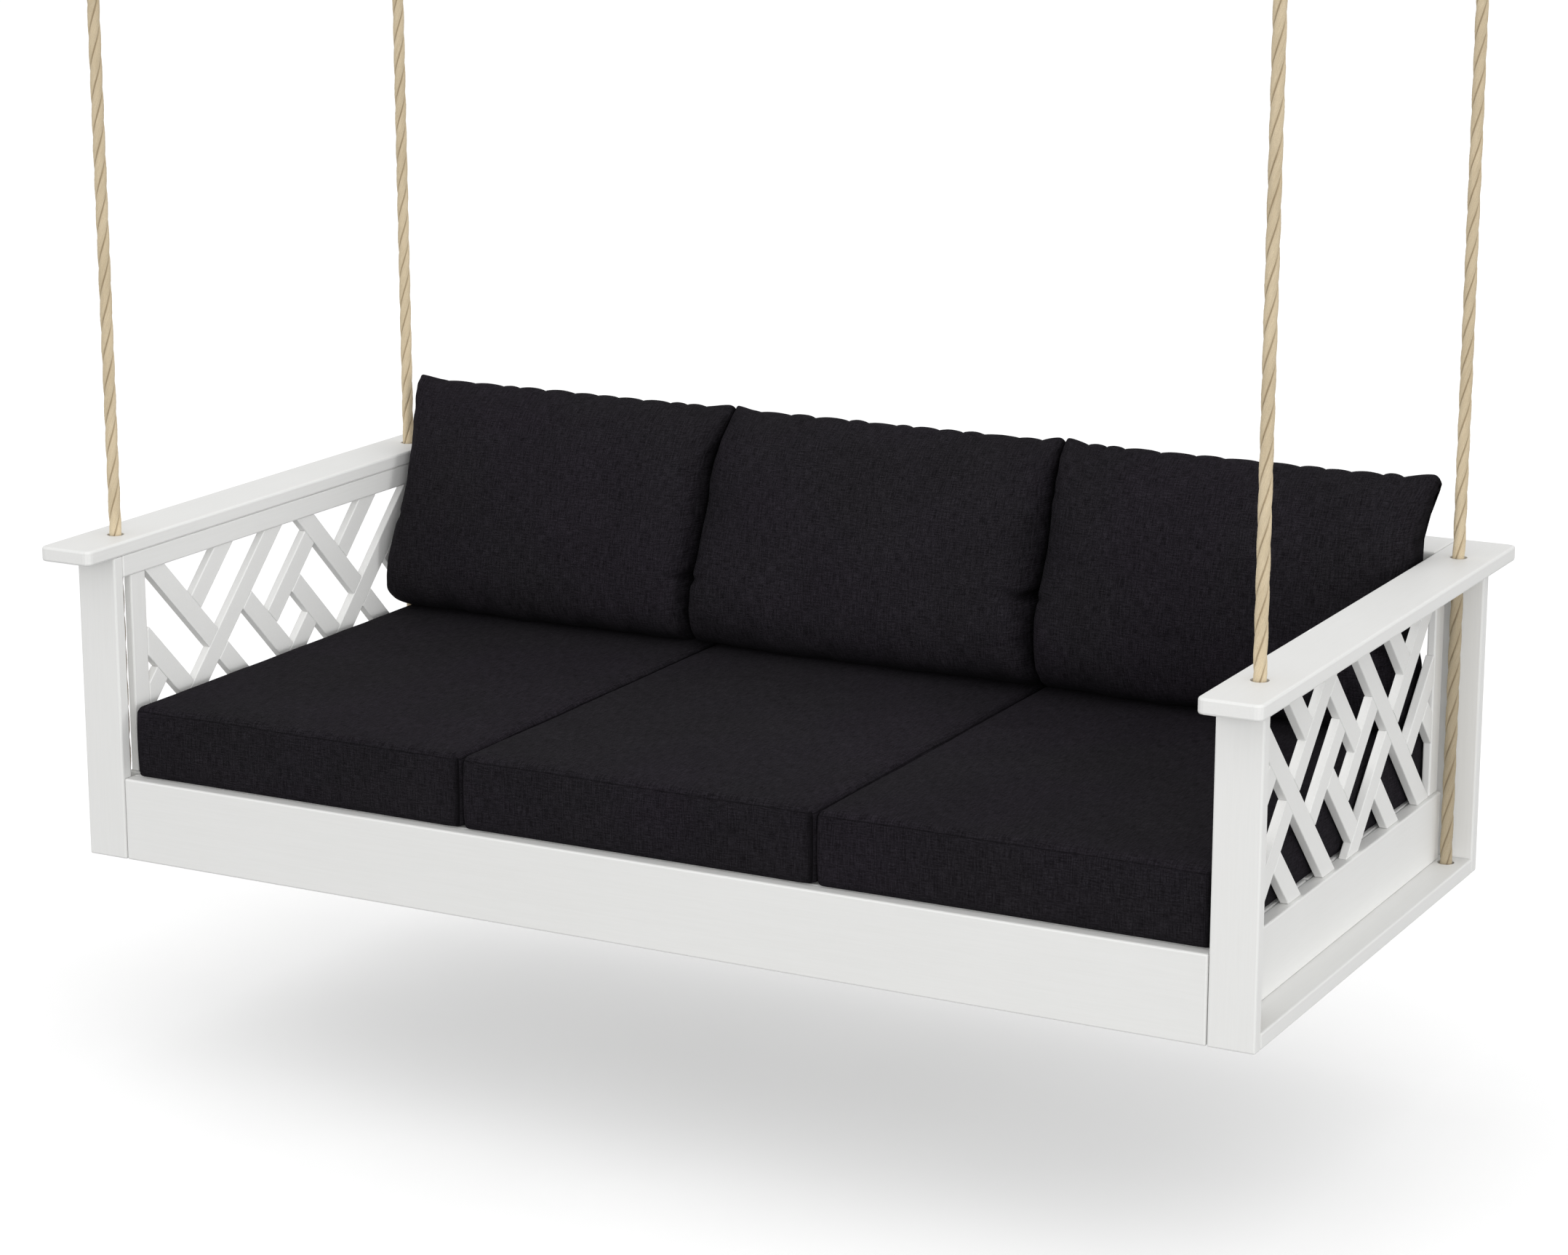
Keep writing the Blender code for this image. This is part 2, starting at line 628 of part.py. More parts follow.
def add_hanger(name, x, y):
    """A screwed plate with two lugs and a cross pin, welded into one piece."""
    top = PLATE_UNDER_Z + PLATE_THICK
    middle = Vector((x, y, PLATE_UNDER_Z + PLATE_THICK / 2))
    plate = box_mesh((PLATE_X, PLATE_Y, PLATE_THICK))
    hanger = place(mesh_object(name, plate), middle, None)
    add_bevel(hanger, 0.0012, 1)
    pieces = []
    lug_low = PIN_Z - LUG_BELOW_PIN
    lug_height = PLATE_UNDER_Z + PLATE_THICK / 2 - lug_low
    for sign in (-1, 1):
        lug = mesh_object(f"{name}_lug", box_mesh((LUG_THICK, LUG_WIDTH, lug_height)))
        lug.location = Vector((x + sign * (LUG_INNER + LUG_THICK / 2), y, lug_low + lug_height / 2))
        pieces.append(lug)
    bm = bmesh.new()
    length = 2 * (LUG_INNER + LUG_THICK) + 0.006
    bmesh.ops.create_cone(
        bm, cap_ends=True, segments=20, radius1=PIN_RADIUS, radius2=PIN_RADIUS, depth=length
    )
    pin = mesh_object(f"{name}_pin", bm)
    pin.rotation_euler = (0.0, math.pi / 2, 0.0)
    pin.location = Vector((x, y, PIN_Z))
    pieces.append(pin)
    for piece in pieces:
        piece.location -= HANG_POINT
        piece.hide_render = True
        piece.display_type = "WIRE"
        CUTTERS.objects.link(piece)
        join = hanger.modifiers.new("weld", "BOOLEAN")
        join.operation = "UNION"
        join.solver = "EXACT"
        join.object = piece
    for sign in (-1, 1):
        cut_round_hole(hanger, (x, y + sign * SCREW_Y, top), SCREW_RADIUS, 4 * PLATE_THICK, 12)
    set_material(hanger, STEEL, STEEL_ROUGHNESS, 1.0)


# ---------------------------------------------------------------- the whole swing
clear_scene()
PARTS = new_collection("porch_swing_seat")
CUTTERS = new_collection("cutters", hidden=True)

seat_empty = new_empty("seat_axis", (0.0, ROPE_FRONT_Y, ARM_PIVOT_Z))
add_posts(seat_empty)
add_arms(seat_empty)
add_bottom_boards(seat_empty)
add_aprons(seat_empty)
add_side_panels(seat_empty)
add_back_panel(seat_empty)
add_side_lattices(seat_empty)
add_back_lattice(seat_empty)
add_deck(seat_empty)
add_seat_cushions(seat_empty)
add_back_cushions(seat_empty)
add_ropes(seat_empty)
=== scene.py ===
"""Looks of the porch swing seat: white boards and lattice, laid ropes, charcoal cushions.

Lengths are metres.  The bench frame has X to the right, Y to the back with y = 0 at the front
faces of the posts, and Z up with z = 0 under the posts.  HANG_POINT is the world origin in it.
"""

import math

import bmesh
import bpy
import numpy as np
from mathutils import Matrix, Vector, noise


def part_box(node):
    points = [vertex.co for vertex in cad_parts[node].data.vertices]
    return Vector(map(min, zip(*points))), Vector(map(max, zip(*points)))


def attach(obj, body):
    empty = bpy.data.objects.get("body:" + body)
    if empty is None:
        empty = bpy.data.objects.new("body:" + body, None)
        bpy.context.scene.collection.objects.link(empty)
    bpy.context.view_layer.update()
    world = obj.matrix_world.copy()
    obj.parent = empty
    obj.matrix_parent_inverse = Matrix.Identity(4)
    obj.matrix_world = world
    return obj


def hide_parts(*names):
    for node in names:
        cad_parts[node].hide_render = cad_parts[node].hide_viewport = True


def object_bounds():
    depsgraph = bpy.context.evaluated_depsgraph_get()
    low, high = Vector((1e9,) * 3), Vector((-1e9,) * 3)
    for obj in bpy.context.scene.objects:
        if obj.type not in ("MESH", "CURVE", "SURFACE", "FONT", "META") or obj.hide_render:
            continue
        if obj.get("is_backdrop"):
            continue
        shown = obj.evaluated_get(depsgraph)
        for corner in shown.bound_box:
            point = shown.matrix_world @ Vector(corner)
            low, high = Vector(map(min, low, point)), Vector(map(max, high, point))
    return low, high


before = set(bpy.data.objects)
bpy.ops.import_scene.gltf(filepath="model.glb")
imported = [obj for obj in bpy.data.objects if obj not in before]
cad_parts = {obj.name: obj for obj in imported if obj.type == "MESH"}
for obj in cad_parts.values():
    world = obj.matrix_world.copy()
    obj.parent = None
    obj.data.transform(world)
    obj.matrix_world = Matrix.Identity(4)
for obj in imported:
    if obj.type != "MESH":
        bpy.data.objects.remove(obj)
CAD_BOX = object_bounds()

HANG_POINT = Vector((0.0, 0.4996, 1.7227))
SIDES = (("left", -1), ("right", 1))
ENDS = (("front", 0.0609), ("back", 0.9383))     # each rope's Y

# ---------------------------------------------------------------- ropes
ROPE_X = 1.0068
ROPE_DIAMETER = 0.020
ARM_PIVOT_Z = 0.5262        # where a rope bends in its arm board
FOOT_DROP = 0.0092          # how far the hanging rope's rounded foot reaches below the bend
EYE_RADIUS = 0.0403
EYE_CENTRE_Z = 1.6500
EYE_THROAT_Z = 1.5680
EYE_FROM = 205.0            # degrees round the thimble, where the rope joins it
EYE_SWEEP = 230.0
TAIL_SHIFT = 0.0206
TAIL_LENGTH = 0.0550
STRAND_RADIUS = 0.0078
STRAND_OFFSET = 0.0024
GROOVE_DEPTH = 0.0016
GROOVE_SHARE = 0.13         # of the way from groove to crown
ROPE_LAY = 0.159            # length of one full twist
RIPPLE_SHARE = 0.022        # of the radius
RIPPLE_LENGTH = 0.011
NAP_HEIGHT = 0.00030
FOOT_ROUNDING = 0.010
TAIL_ROUNDING = 0.006
RING_STEP = 0.003
RING_POINTS = 48
TWINE_RADIUS = 0.0011
TWINE_TURNS = 9
LOWER_STEPS = 40

# ---------------------------------------------------------------- lattice
BAR = 0.0381
PITCH = 0.1457
PANEL_THICK = 0.0143
BAR_EDGE = 0.0016
JOINT_GAP = 0.0003
PANEL_HEIGHTS = (0.1402, 0.4771)
SIDE_PANEL_SPAN = (0.0863, 0.9125)
SIDE_PANEL_X = 0.9825
SIDE_LEFT_OUT = 30          # the short falling bar by the far top corner of the end panels
SHORTEST_EDGE = 1e-4
SMALLEST_BAR = 1e-5         # area
SEAT_DEPTH = 0.9988         # front faces of the front posts to rear faces of the back posts
BACK_PANEL_SPAN = (-0.8902, 0.8902)
BACK_PANEL_Y = 0.9787
# The pattern's middle in s and in t, the bar number that stands there, and the units it needs.
SIDE_PATTERN = (0.80475, -0.19085, 2.5, range(-1, 3))
BACK_PATTERN = (0.30855, 0.30855, 5.5, range(-1, 5))

# ---------------------------------------------------------------- cushions
CUSHIONS = ("left", "middle", "right")
THREAD_PITCH = 0.0021
CUSHION_GAP = 0.0010
SEAT_ENDS = (-0.9500, -0.3125, 0.3190, 0.9650)
SEAT_FRONT, SEAT_BACK = 0.0165, 0.9545
SEAT_UNDER, SEAT_TOP = 0.1406, 0.2580
# Distance between points, the width of the finer band by the edges, and the distance in it.
TOP_SPACING = (0.0085, 0.030, 0.0026)
BOXING_SPACING = (0.0050, 0.020, 0.0014)
ON_FACE = 0.999             # of the half width, from where a point is on a cushion's side
CROWN_HEIGHT = 0.0035
PUFF_HEIGHT = 0.0055
BELLY_DEPTH = 0.0022
PULL_DEPTH = 0.0018
RIM_DROP = 0.0042           # from the flat top to the upper seam
SEAM_RISE = 0.0070          # from the underside to the lower seam
UPPER_SEAM, LOWER_SEAM = 0.0012, 0.0007         # depths
BACK_ENDS = ((-0.9620, -0.3215), (-0.3205, 0.3195), (0.3205, 0.9620))
BACK_RING = 156
END_SHARE = 0.075           # of a back cushion's length, where its rings stand closer
END_RINGS = 30
INNER_RINGS = 150
CORNER_RADIUS = 0.011
CORNER_LIFT = 0.006

# ---------------------------------------------------------------- studio
CAMERA_PLACE = (2.92813, -4.99461, 1.95278)
CAMERA_TARGET = (0.0258, 0.4703, 0.4105)
CAMERA_LENS = 89.875
CAMERA_SENSOR = 36.0
FLOOR_LEVEL = -0.36
FLOOR_REACH = 400.0
FLOOR_GLOW = 0.287
WORLD_GLOW = (0.18, 0.94)   # below and above the horizon
GLOW_TURNS = (-0.14, -0.02)     # upward share of the view's direction, where the glow changes
# Name, place, what it is aimed at, size, power and spread in degrees.
LAMPS = (
    ("front_light", (7.0, -9.6, 1.6), (0.0, 0.5, 0.3), 7.0, 640.0, 180.0),
    ("left_light", (-8.0, -7.0, 1.6), (0.0, 0.5, 0.3), 4.0, 100.0, 180.0),
    ("side_light", (9.0, -2.0, 2.6), (0.0, 0.5, 0.3), 4.0, 60.0, 180.0),
    ("inner_light", (0.93, 0.30, 0.72), (-0.97, 0.42, 0.38), 0.4, 1.0, 70.0),
)


# ---------------------------------------------------------------- small tools
def bench(x, y, z):
    """A place in the bench frame, as a place in the world."""
    return Vector((x, y, z)) - HANG_POINT


def link(obj):
    bpy.context.scene.collection.objects.link(obj)
    return obj


def mesh_from(name, points, faces):
    mesh = bpy.data.meshes.new(name)
    mesh.from_pydata([tuple(p) for p in points], [], faces)
    mesh.validate()
    mesh.update()
    return link(bpy.data.objects.new(name, mesh))


def smooth(obj):
    obj.data.polygons.foreach_set("use_smooth", [True] * len(obj.data.polygons))


def add_attribute(obj, name, values):
    values = np.asarray(values, dtype=np.float32)
    kind = "FLOAT_VECTOR" if values.ndim == 2 else "FLOAT"
    layer = obj.data.attributes.new(name, kind, "POINT")
    layer.data.foreach_set("vector" if values.ndim == 2 else "value", values.ravel())


def fix_normals(obj):
    bm = bmesh.new()
    bm.from_mesh(obj.data)
    bmesh.ops.recalc_face_normals(bm, faces=bm.faces)
    bm.to_mesh(obj.data)
    bm.free()


def aim_at(obj, target):
    direction = bench(*target) - obj.location
    obj.rotation_euler = direction.to_track_quat("-Z", "Y").to_euler()


def ring_faces(rings, count):
    """Quads between neighbouring rings, whose count points follow one another."""
    faces = []
    for ring in range(rings - 1):
        low = ring * count
        high = low + count
        for k in range(count):
            after = (k + 1) % count
            faces.append((low + k, low + after, high + after, high + k))
    return faces


def catmull_rom(before, start, end, after, t):
    along = (end - before) * t
    along += (2 * before - 5 * start + 4 * end - after) * t * t
    along += (3 * start - before - 3 * end + after) * t ** 3
    return start + along / 2


def bell(value, width):
    return np.exp(-((value / width) ** 2))


def smoothstep(low, high, value):
    t = np.clip((np.asarray(value, dtype=float) - low) / (high - low), 0.0, 1.0)
    return t * t * (3 - 2 * t)


def noise_at(places):
    """Smooth noise between -1 and 1 at each place, with features about 1 across."""
    return np.array([noise.noise(Vector(place)) for place in places])


def value_noise(points, size, seed):
    """The same with features about size across, and its own pattern for each seed."""
    shift = Vector((17.3 * seed, -9.1 * seed, 5.7 * seed))
    return noise_at(Vector(p) / size + shift for p in points)


def grey(level):
    return (level, level, level)


# ---------------------------------------------------------------- node tools
class Nodes:
    """Short ways to make and join shader nodes in one material."""

    def __init__(self, name):
        self.material = bpy.data.materials.new(name)
        self.material.use_nodes = True
        self.tree = self.material.node_tree
        self.shader = self.tree.nodes["Principled BSDF"]

    def new(self, kind, settings=(), **inputs):
        node = self.tree.nodes.new(kind)
        for key, value in dict(settings).items():
            setattr(node, key, value)
        for key, value in inputs.items():
            self.put(node, key.replace("_", " "), value)
        return node

    def put(self, node, socket, value):
        target = node.inputs[socket] if not socket.isdigit() else node.inputs[int(socket)]
        if isinstance(value, bpy.types.NodeSocket):
            self.tree.links.new(value, target)
        else:
            target.default_value = value

    def math(self, operation, first, second=0.0, clamp=False):
        node = self.new("ShaderNodeMath", {"operation": operation, "use_clamp": clamp})
        self.put(node, "0", first)
        self.put(node, "1", second)
        return node.outputs[0]

    def object_point(self, scale=(1.0, 1.0, 1.0)):
        point = self.new("ShaderNodeTexCoord").outputs["Object"]
        return self.mapped(point, scale)

    def mapped(self, point, scale):
        node = self.new("ShaderNodeMapping", Vector=point)
        self.put(node, "Scale", scale)
        return node.outputs[0]

    def attribute(self, name, output="Fac"):
        return self.new("ShaderNodeAttribute", {"attribute_name": name}).outputs[output]

    def noise(self, point, scale, detail=2.0, roughness=0.5):
        node = self.new("ShaderNodeTexNoise", Vector=point, Scale=scale, Detail=detail)
        self.put(node, "Roughness", roughness)
        return node.outputs["Fac"]

    def ramp(self, value, stops):
        stops = list(stops)
        node = self.new("ShaderNodeValToRGB", Fac=value)
        ramp = node.color_ramp
        while len(ramp.elements) < len(stops):
            ramp.elements.new(0.5)
        for element, (position, colour) in zip(ramp.elements, stops):
            element.position = position
            element.color = (*colour, 1.0)
        return node.outputs["Color"]

    def mix(self, factor, first, second, blend="MIX"):
        node = self.new("ShaderNodeMix", {"data_type": "RGBA", "blend_type": blend})
        self.put(node, "0", factor)
        for socket, colour in (("6", first), ("7", second)):
            linked = isinstance(colour, bpy.types.NodeSocket)
            self.put(node, socket, colour if linked else (*colour, 1.0))
        return node.outputs[2]

    def tinted(self, colour, value, stops, share=1.0):
        """The colour multiplied by a ramp over the value."""
        return self.mix(share, colour, self.ramp(value, stops), "MULTIPLY")

    def bump(self, height, strength, distance):
        node = self.new("ShaderNodeBump", Height=height, Strength=strength, Distance=distance)
        return node.outputs[0]

    def finish(self, **inputs):
        for key, value in inputs.items():
            self.put(self.shader, key.replace("_", " "), value)
        return self.material


# ---------------------------------------------------------------- materials
def lumber_material(name, grain):
    """White moulded lumber: matte, faint long streaks along the board, and a painted highlight
    lightening its eased edges.
    """
    n = Nodes(name)
    along = tuple(0.035 if axis == grain else 1.0 for axis in range(3))
    point = n.object_point(along)
    streak = n.noise(point, 260.0, 4.0, 0.62)
    cloud = n.noise(n.object_point(), 7.0, 3.0, 0.5)
    fine = n.noise(n.object_point(), 1400.0, 2.0, 0.6)
    base = n.ramp(cloud, [(0.30, (0.785, 0.785, 0.772)), (0.70, (0.795, 0.795, 0.783))])
    colour = n.tinted(base, streak, [(0.30, (0.975, 0.975, 0.972)), (0.62, grey(1.0))], 0.85)
    # Painted highlight: where the bevelled normal turns from the true one, the eased edges are
    # lightened towards 0.815 and made glossier.
    eased_normal = n.new("ShaderNodeBevel", {"samples": 4}, Radius=0.0022).outputs[0]
    true = n.new("ShaderNodeNewGeometry").outputs["True Normal"]
    dot = n.new("ShaderNodeVectorMath", {"operation": "DOT_PRODUCT"})
    n.put(dot, "0", eased_normal)
    n.put(dot, "1", true)
    edge = n.math("SUBTRACT", 1.0, dot.outputs["Value"], clamp=True)
    edge = n.math("MULTIPLY", edge, 2.2, clamp=True)
    colour = n.mix(edge, colour, (0.815, 0.815, 0.810))
    rough = n.ramp(streak, [(0.25, grey(0.46)), (0.75, grey(0.60))])
    rough = n.mix(edge, rough, grey(0.38))
    height = n.math("ADD", n.math("MULTIPLY", streak, 0.7), n.math("MULTIPLY", fine, 0.3))
    normal = n.bump(height, 0.22, 0.0006)
    return n.finish(Base_Color=colour, Roughness=rough, Normal=normal, Specular_IOR_Level=0.35)


def weave_material(name, seed):
    """Charcoal linen-look outdoor cloth: plain weave, uneven threads and drifting tints, with
    painted shade taken from the mesh.
    """
    n = Nodes(name)
    cloth = n.attribute("cloth", "Vector")
    point = n.object_point()
    wobble = n.new("ShaderNodeTexNoise", Vector=cloth, Scale=45.0, Detail=2.0)
    offset = n.new("ShaderNodeVectorMath", {"operation": "MULTIPLY_ADD"})
    n.put(offset, "0", wobble.outputs["Color"])
    n.put(offset, "1", (0.0014, 0.0014, 0.0))
    n.put(offset, "2", cloth)
    split = n.new("ShaderNodeSeparateXYZ", Vector=offset.outputs[0])
    turns = 2 * math.pi / THREAD_PITCH
    warp = n.math("SINE", n.math("MULTIPLY", split.outputs[0], turns))
    weft = n.math("SINE", n.math("MULTIPLY", split.outputs[1], turns))
    over = n.math("MULTIPLY", warp, weft)
    over = n.math("ADD", n.math("MULTIPLY", over, 0.5), 0.5)
    across = n.noise(n.mapped(cloth, (55.0, 520.0, 1.0)), 1.0, 3.0, 0.6)
    upright = n.noise(n.mapped(cloth, (520.0, 40.0, 1.0)), 1.0, 3.0, 0.6)
    slub = n.math("MULTIPLY", n.math("ADD", across, upright), 0.5)
    specks = n.noise(n.mapped(cloth, (420.0, 420.0, 1.0)), 1.0, 2.0, 0.8)
    patch = n.noise(point, 9.0 + seed, 3.0, 0.55)
    hue = n.noise(point, 4.0 - 0.4 * seed, 1.0, 0.5)
    thread = n.ramp(slub, [(0.38, (0.0062, 0.0055, 0.0066)), (0.62, (0.0212, 0.0193, 0.0230))])
    colour = n.tinted(thread, over, [(0.0, grey(0.62)), (1.0, grey(1.30))])
    colour = n.tinted(colour, specks, [(0.36, grey(0.66)), (0.66, grey(1.36))])
    colour = n.tinted(colour, patch, [(0.30, grey(0.92)), (0.70, grey(1.08))])
    leanings = [(1.0, 1.0, 0.99), (1.0, 0.99, 1.01), (1.03, 0.98, 1.05)]
    colour = n.tinted(colour, hue, zip((0.38, 0.50, 0.62), leanings))
    # Painted shade: the cushion's shade attribute darkens its seams, creases, the gaps between
    # cushions and the feet towards near-black.
    painted_shade = n.attribute("painted_shade")
    colour = n.mix(n.math("MULTIPLY", painted_shade, 0.85), colour, (0.0018, 0.0016, 0.0019))
    height = n.math("ADD", n.math("MULTIPLY", over, 0.5), n.math("MULTIPLY", slub, 0.5))
    normal = n.bump(height, 0.5, 0.0008)
    return n.finish(
        Base_Color=colour,
        Roughness=0.92,
        Normal=normal,
        Specular_IOR_Level=0.03,
        Sheen_Weight=0.008,
        Sheen_Roughness=0.45,
        Sheen_Tint=(0.62, 0.60, 0.66, 1.0),
    )


def rope_material(name, shade):
    """Tan spun fibre: yarn lines along each strand, painted shade in the grooves and a felted nap.
    """
    n = Nodes(name)
    lay = n.attribute("strand", "Vector")
    groove = n.attribute("groove")
    yarn = n.noise(n.mapped(lay, (1.0, 26.0, 1.0)), 3.4, 3.0, 0.65)
    fibre = n.noise(n.mapped(lay, (3.0, 210.0, 1.0)), 4.0, 4.0, 0.75)
    nap = n.noise(n.object_point(), 900.0, 3.0, 0.75)
    patch = n.noise(n.object_point((1.0, 1.0, 0.4)), 26.0, 2.0, 0.5)
    tans = [(0.620, 0.495, 0.325), (0.760, 0.640, 0.450), (0.850, 0.750, 0.570)]
    colour = n.ramp(yarn, zip((0.30, 0.50, 0.72), tans))
    colour = n.tinted(colour, fibre, [(0.32, (0.84, 0.82, 0.78)), (0.62, grey(1.10))], 0.85)
    colour = n.tinted(colour, nap, [(0.34, (0.86, 0.85, 0.83)), (0.66, grey(1.08))], 0.8)
    colour = n.tinted(colour, patch, [(0.30, (0.93, 0.92, 0.90)), (0.70, grey(1.05))])
    # Painted shade: the grooves between strands are darkened towards dark brown.
    groove_shade = n.ramp(groove, [(0.05, grey(0.0)), (0.85, grey(1.0))])
    colour = n.mix(n.math("MULTIPLY", groove_shade, 0.62), colour, (0.260, 0.170, 0.085))
    # The shade factor darkens the whole rope; on the lower ropes it is painted shade.
    colour = n.mix(1.0, colour, grey(shade), "MULTIPLY")
    height = n.math("ADD", n.math("MULTIPLY", fibre, 0.5), n.math("MULTIPLY", nap, 0.5))
    height = n.math("ADD", height, n.math("MULTIPLY", yarn, 0.5))
    normal = n.bump(height, 0.8, 0.0012)
    return n.finish(
        Base_Color=colour,
        Roughness=0.90,
        Normal=normal,
        Specular_IOR_Level=0.20,
        Sheen_Weight=0.25,
        Sheen_Roughness=0.50,
        Sheen_Tint=(0.90, 0.80, 0.62, 1.0),
    )


def steel_material(name):
    """Hot-dip galvanised steel: cool grey with a soft spangle and dull patches."""
    n = Nodes(name)
    cells = n.new("ShaderNodeTexVoronoi", Vector=n.object_point(), Scale=190.0)
    spangle = n.new("ShaderNodeSeparateColor", Color=cells.outputs["Color"]).outputs[0]
    dull = n.noise(n.object_point(), 60.0, 4.0, 0.6)
    colour = n.ramp(spangle, [(0.1, (0.27, 0.28, 0.29)), (0.9, (0.40, 0.41, 0.42))])
    colour = n.mix(n.math("MULTIPLY", dull, 0.6), colour, (0.22, 0.22, 0.23))
    rough = n.ramp(dull, [(0.3, grey(0.30)), (0.7, grey(0.52))])
    scratches = n.noise(n.object_point((1.0, 8.0, 1.0)), 500.0, 3.0, 0.7)
    normal = n.bump(scratches, 0.25, 0.0004)
    return n.finish(Base_Color=colour, Metallic=1.0, Roughness=rough, Normal=normal)


# ---------------------------------------------------------------- camera
def add_camera():
    data = bpy.data.cameras.new("camera")
    data.sensor_fit = "HORIZONTAL"
    data.sensor_width = CAMERA_SENSOR
    data.lens = CAMERA_LENS
    camera = link(bpy.data.objects.new("camera", data))
    camera.location = bench(*CAMERA_PLACE)
    aim_at(camera, CAMERA_TARGET)
    bpy.context.scene.camera = camera


# ---------------------------------------------------------------- ropes
def smooth_route(points, step):
    """Catmull-Rom curve through the route's points, read off about every step."""
    route = [Vector(point) for point in points]
    padded = [2 * route[0] - route[1], *route, 2 * route[-1] - route[-2]]
    result = []
    for before, start, end, after in zip(padded, padded[1:], padded[2:], padded[3:]):
        pieces = max(1, round((end - start).length / step))
        for index in range(pieces):
            result.append(catmull_rom(before, start, end, after, index / pieces))
    result.append(route[-1])
    return result


def eye_route(x, y):
    """The hanging rope from the arm's pivot up round its eye to the end of the seized tail."""
    throat = EYE_THROAT_Z
    low = ARM_PIVOT_Z + 0.020
    straight = 16
    steps = 12
    route = [(x, y, low)]
    for index in range(1, straight + 1):
        route.append((x, y, low + (throat - 0.03 - low) * index / straight))
    for back, up in ((0.0010, -0.008), (0.0080, 0.016), (0.0235, 0.042)):
        route.append((x, y - back, throat + up))
    for index in range(steps + 1):
        angle = math.radians(EYE_FROM - EYE_SWEEP * index / steps)
        reach = EYE_RADIUS * math.cos(angle)
        route.append((x, y + reach, EYE_CENTRE_Z + EYE_RADIUS * math.sin(angle)))
    tail = ((0.0300, 0.042), (0.0235, 0.018), (TAIL_SHIFT, -0.006), (TAIL_SHIFT, -TAIL_LENGTH))
    for back, up in tail:
        route.append((x, y + back, throat + up))
    return route


def evenly(points, step):
    """The same route with a point every step of its length."""
    points = np.array([tuple(p) for p in points])
    legs = np.linalg.norm(np.diff(points, axis=0), axis=1)
    along = np.concatenate([[0.0], np.cumsum(legs)])
    count = max(2, round(along[-1] / step) + 1)
    at = np.linspace(0.0, along[-1], count)
    return np.stack([np.interp(at, along, points[:, k]) for k in range(3)], axis=1), at


def rounded(distance, reach):
    """Share of the full radius at a distance from a rounded end."""
    return math.sqrt(max(0.02, 1 - max(0.0, 1 - distance / reach) ** 2))


def laid_rope(name, route, phase, seed, material, round_ends=False):
    """Three strands twisted right-handed about a route that lies in a plane across X."""
    centres, along = evenly(route, RING_STEP)
    tangents = np.gradient(centres, axis=0)
    tangents /= np.linalg.norm(tangents, axis=1)[:, None]
    side = np.array([1.0, 0.0, 0.0])
    other = np.cross(tangents, side)
    theta = 2 * math.pi * np.arange(RING_POINTS) / RING_POINTS
    third = 2 * math.pi / 3
    local = (theta + third / 2) % third - third / 2
    spread = STRAND_RADIUS ** 2 - (STRAND_OFFSET * np.sin(local)) ** 2
    section = STRAND_OFFSET * np.cos(local) + np.sqrt(spread)
    depth = bell(1 - np.abs(local) / (third / 2), GROOVE_SHARE)
    section = section - GROOVE_DEPTH * depth
    which = np.round((theta - local) / third) % 3
    points = []
    strands = []
    source = np.random.default_rng(int(10 * (seed + 50)))
    total = along[-1]
    for centre, bend, distance in zip(centres, other, along):
        shrink = 1.0
        if round_ends:
            shrink = min(rounded(distance, FOOT_ROUNDING), rounded(total - distance, TAIL_ROUNDING))
        turned = theta + (phase + 2 * math.pi * distance / ROPE_LAY)
        direction = np.outer(np.cos(turned), side) + np.outer(np.sin(turned), bend)
        level = distance / RIPPLE_LENGTH + seed
        ripple = noise_at((math.cos(a) * 1.3, math.sin(a) * 1.3, level) for a in theta)
        nap = source.uniform(-1.0, 1.0, RING_POINTS) ** 3 * NAP_HEIGHT
        radius = (section * (1 + RIPPLE_SHARE * ripple) + nap) * shrink
        points.append(centre + direction * radius[:, None])
        run = distance * 10.0 + local * 0.6
        strands.append(np.stack([run, local / third, which * 7.7], axis=1))
    rings = len(centres)
    points = np.concatenate(points + [centres[:1], centres[-1:]])
    strands = np.concatenate(strands + [np.zeros((2, 3))])
    grooves = np.concatenate([np.tile(depth, rings), np.zeros(2)])
    faces = ring_faces(rings, RING_POINTS)
    first = rings * RING_POINTS
    top = first - RING_POINTS
    for k in range(RING_POINTS):
        after = (k + 1) % RING_POINTS
        faces.append((first, after, k))
        faces.append((first + 1, top + k, top + after))
    rope = mesh_from(name, points, faces)
    fix_normals(rope)
    add_attribute(rope, "strand", strands)
    add_attribute(rope, "groove", grooves)
    rope.data.materials.append(material)
    smooth(rope)
    return rope, centres, float(total)


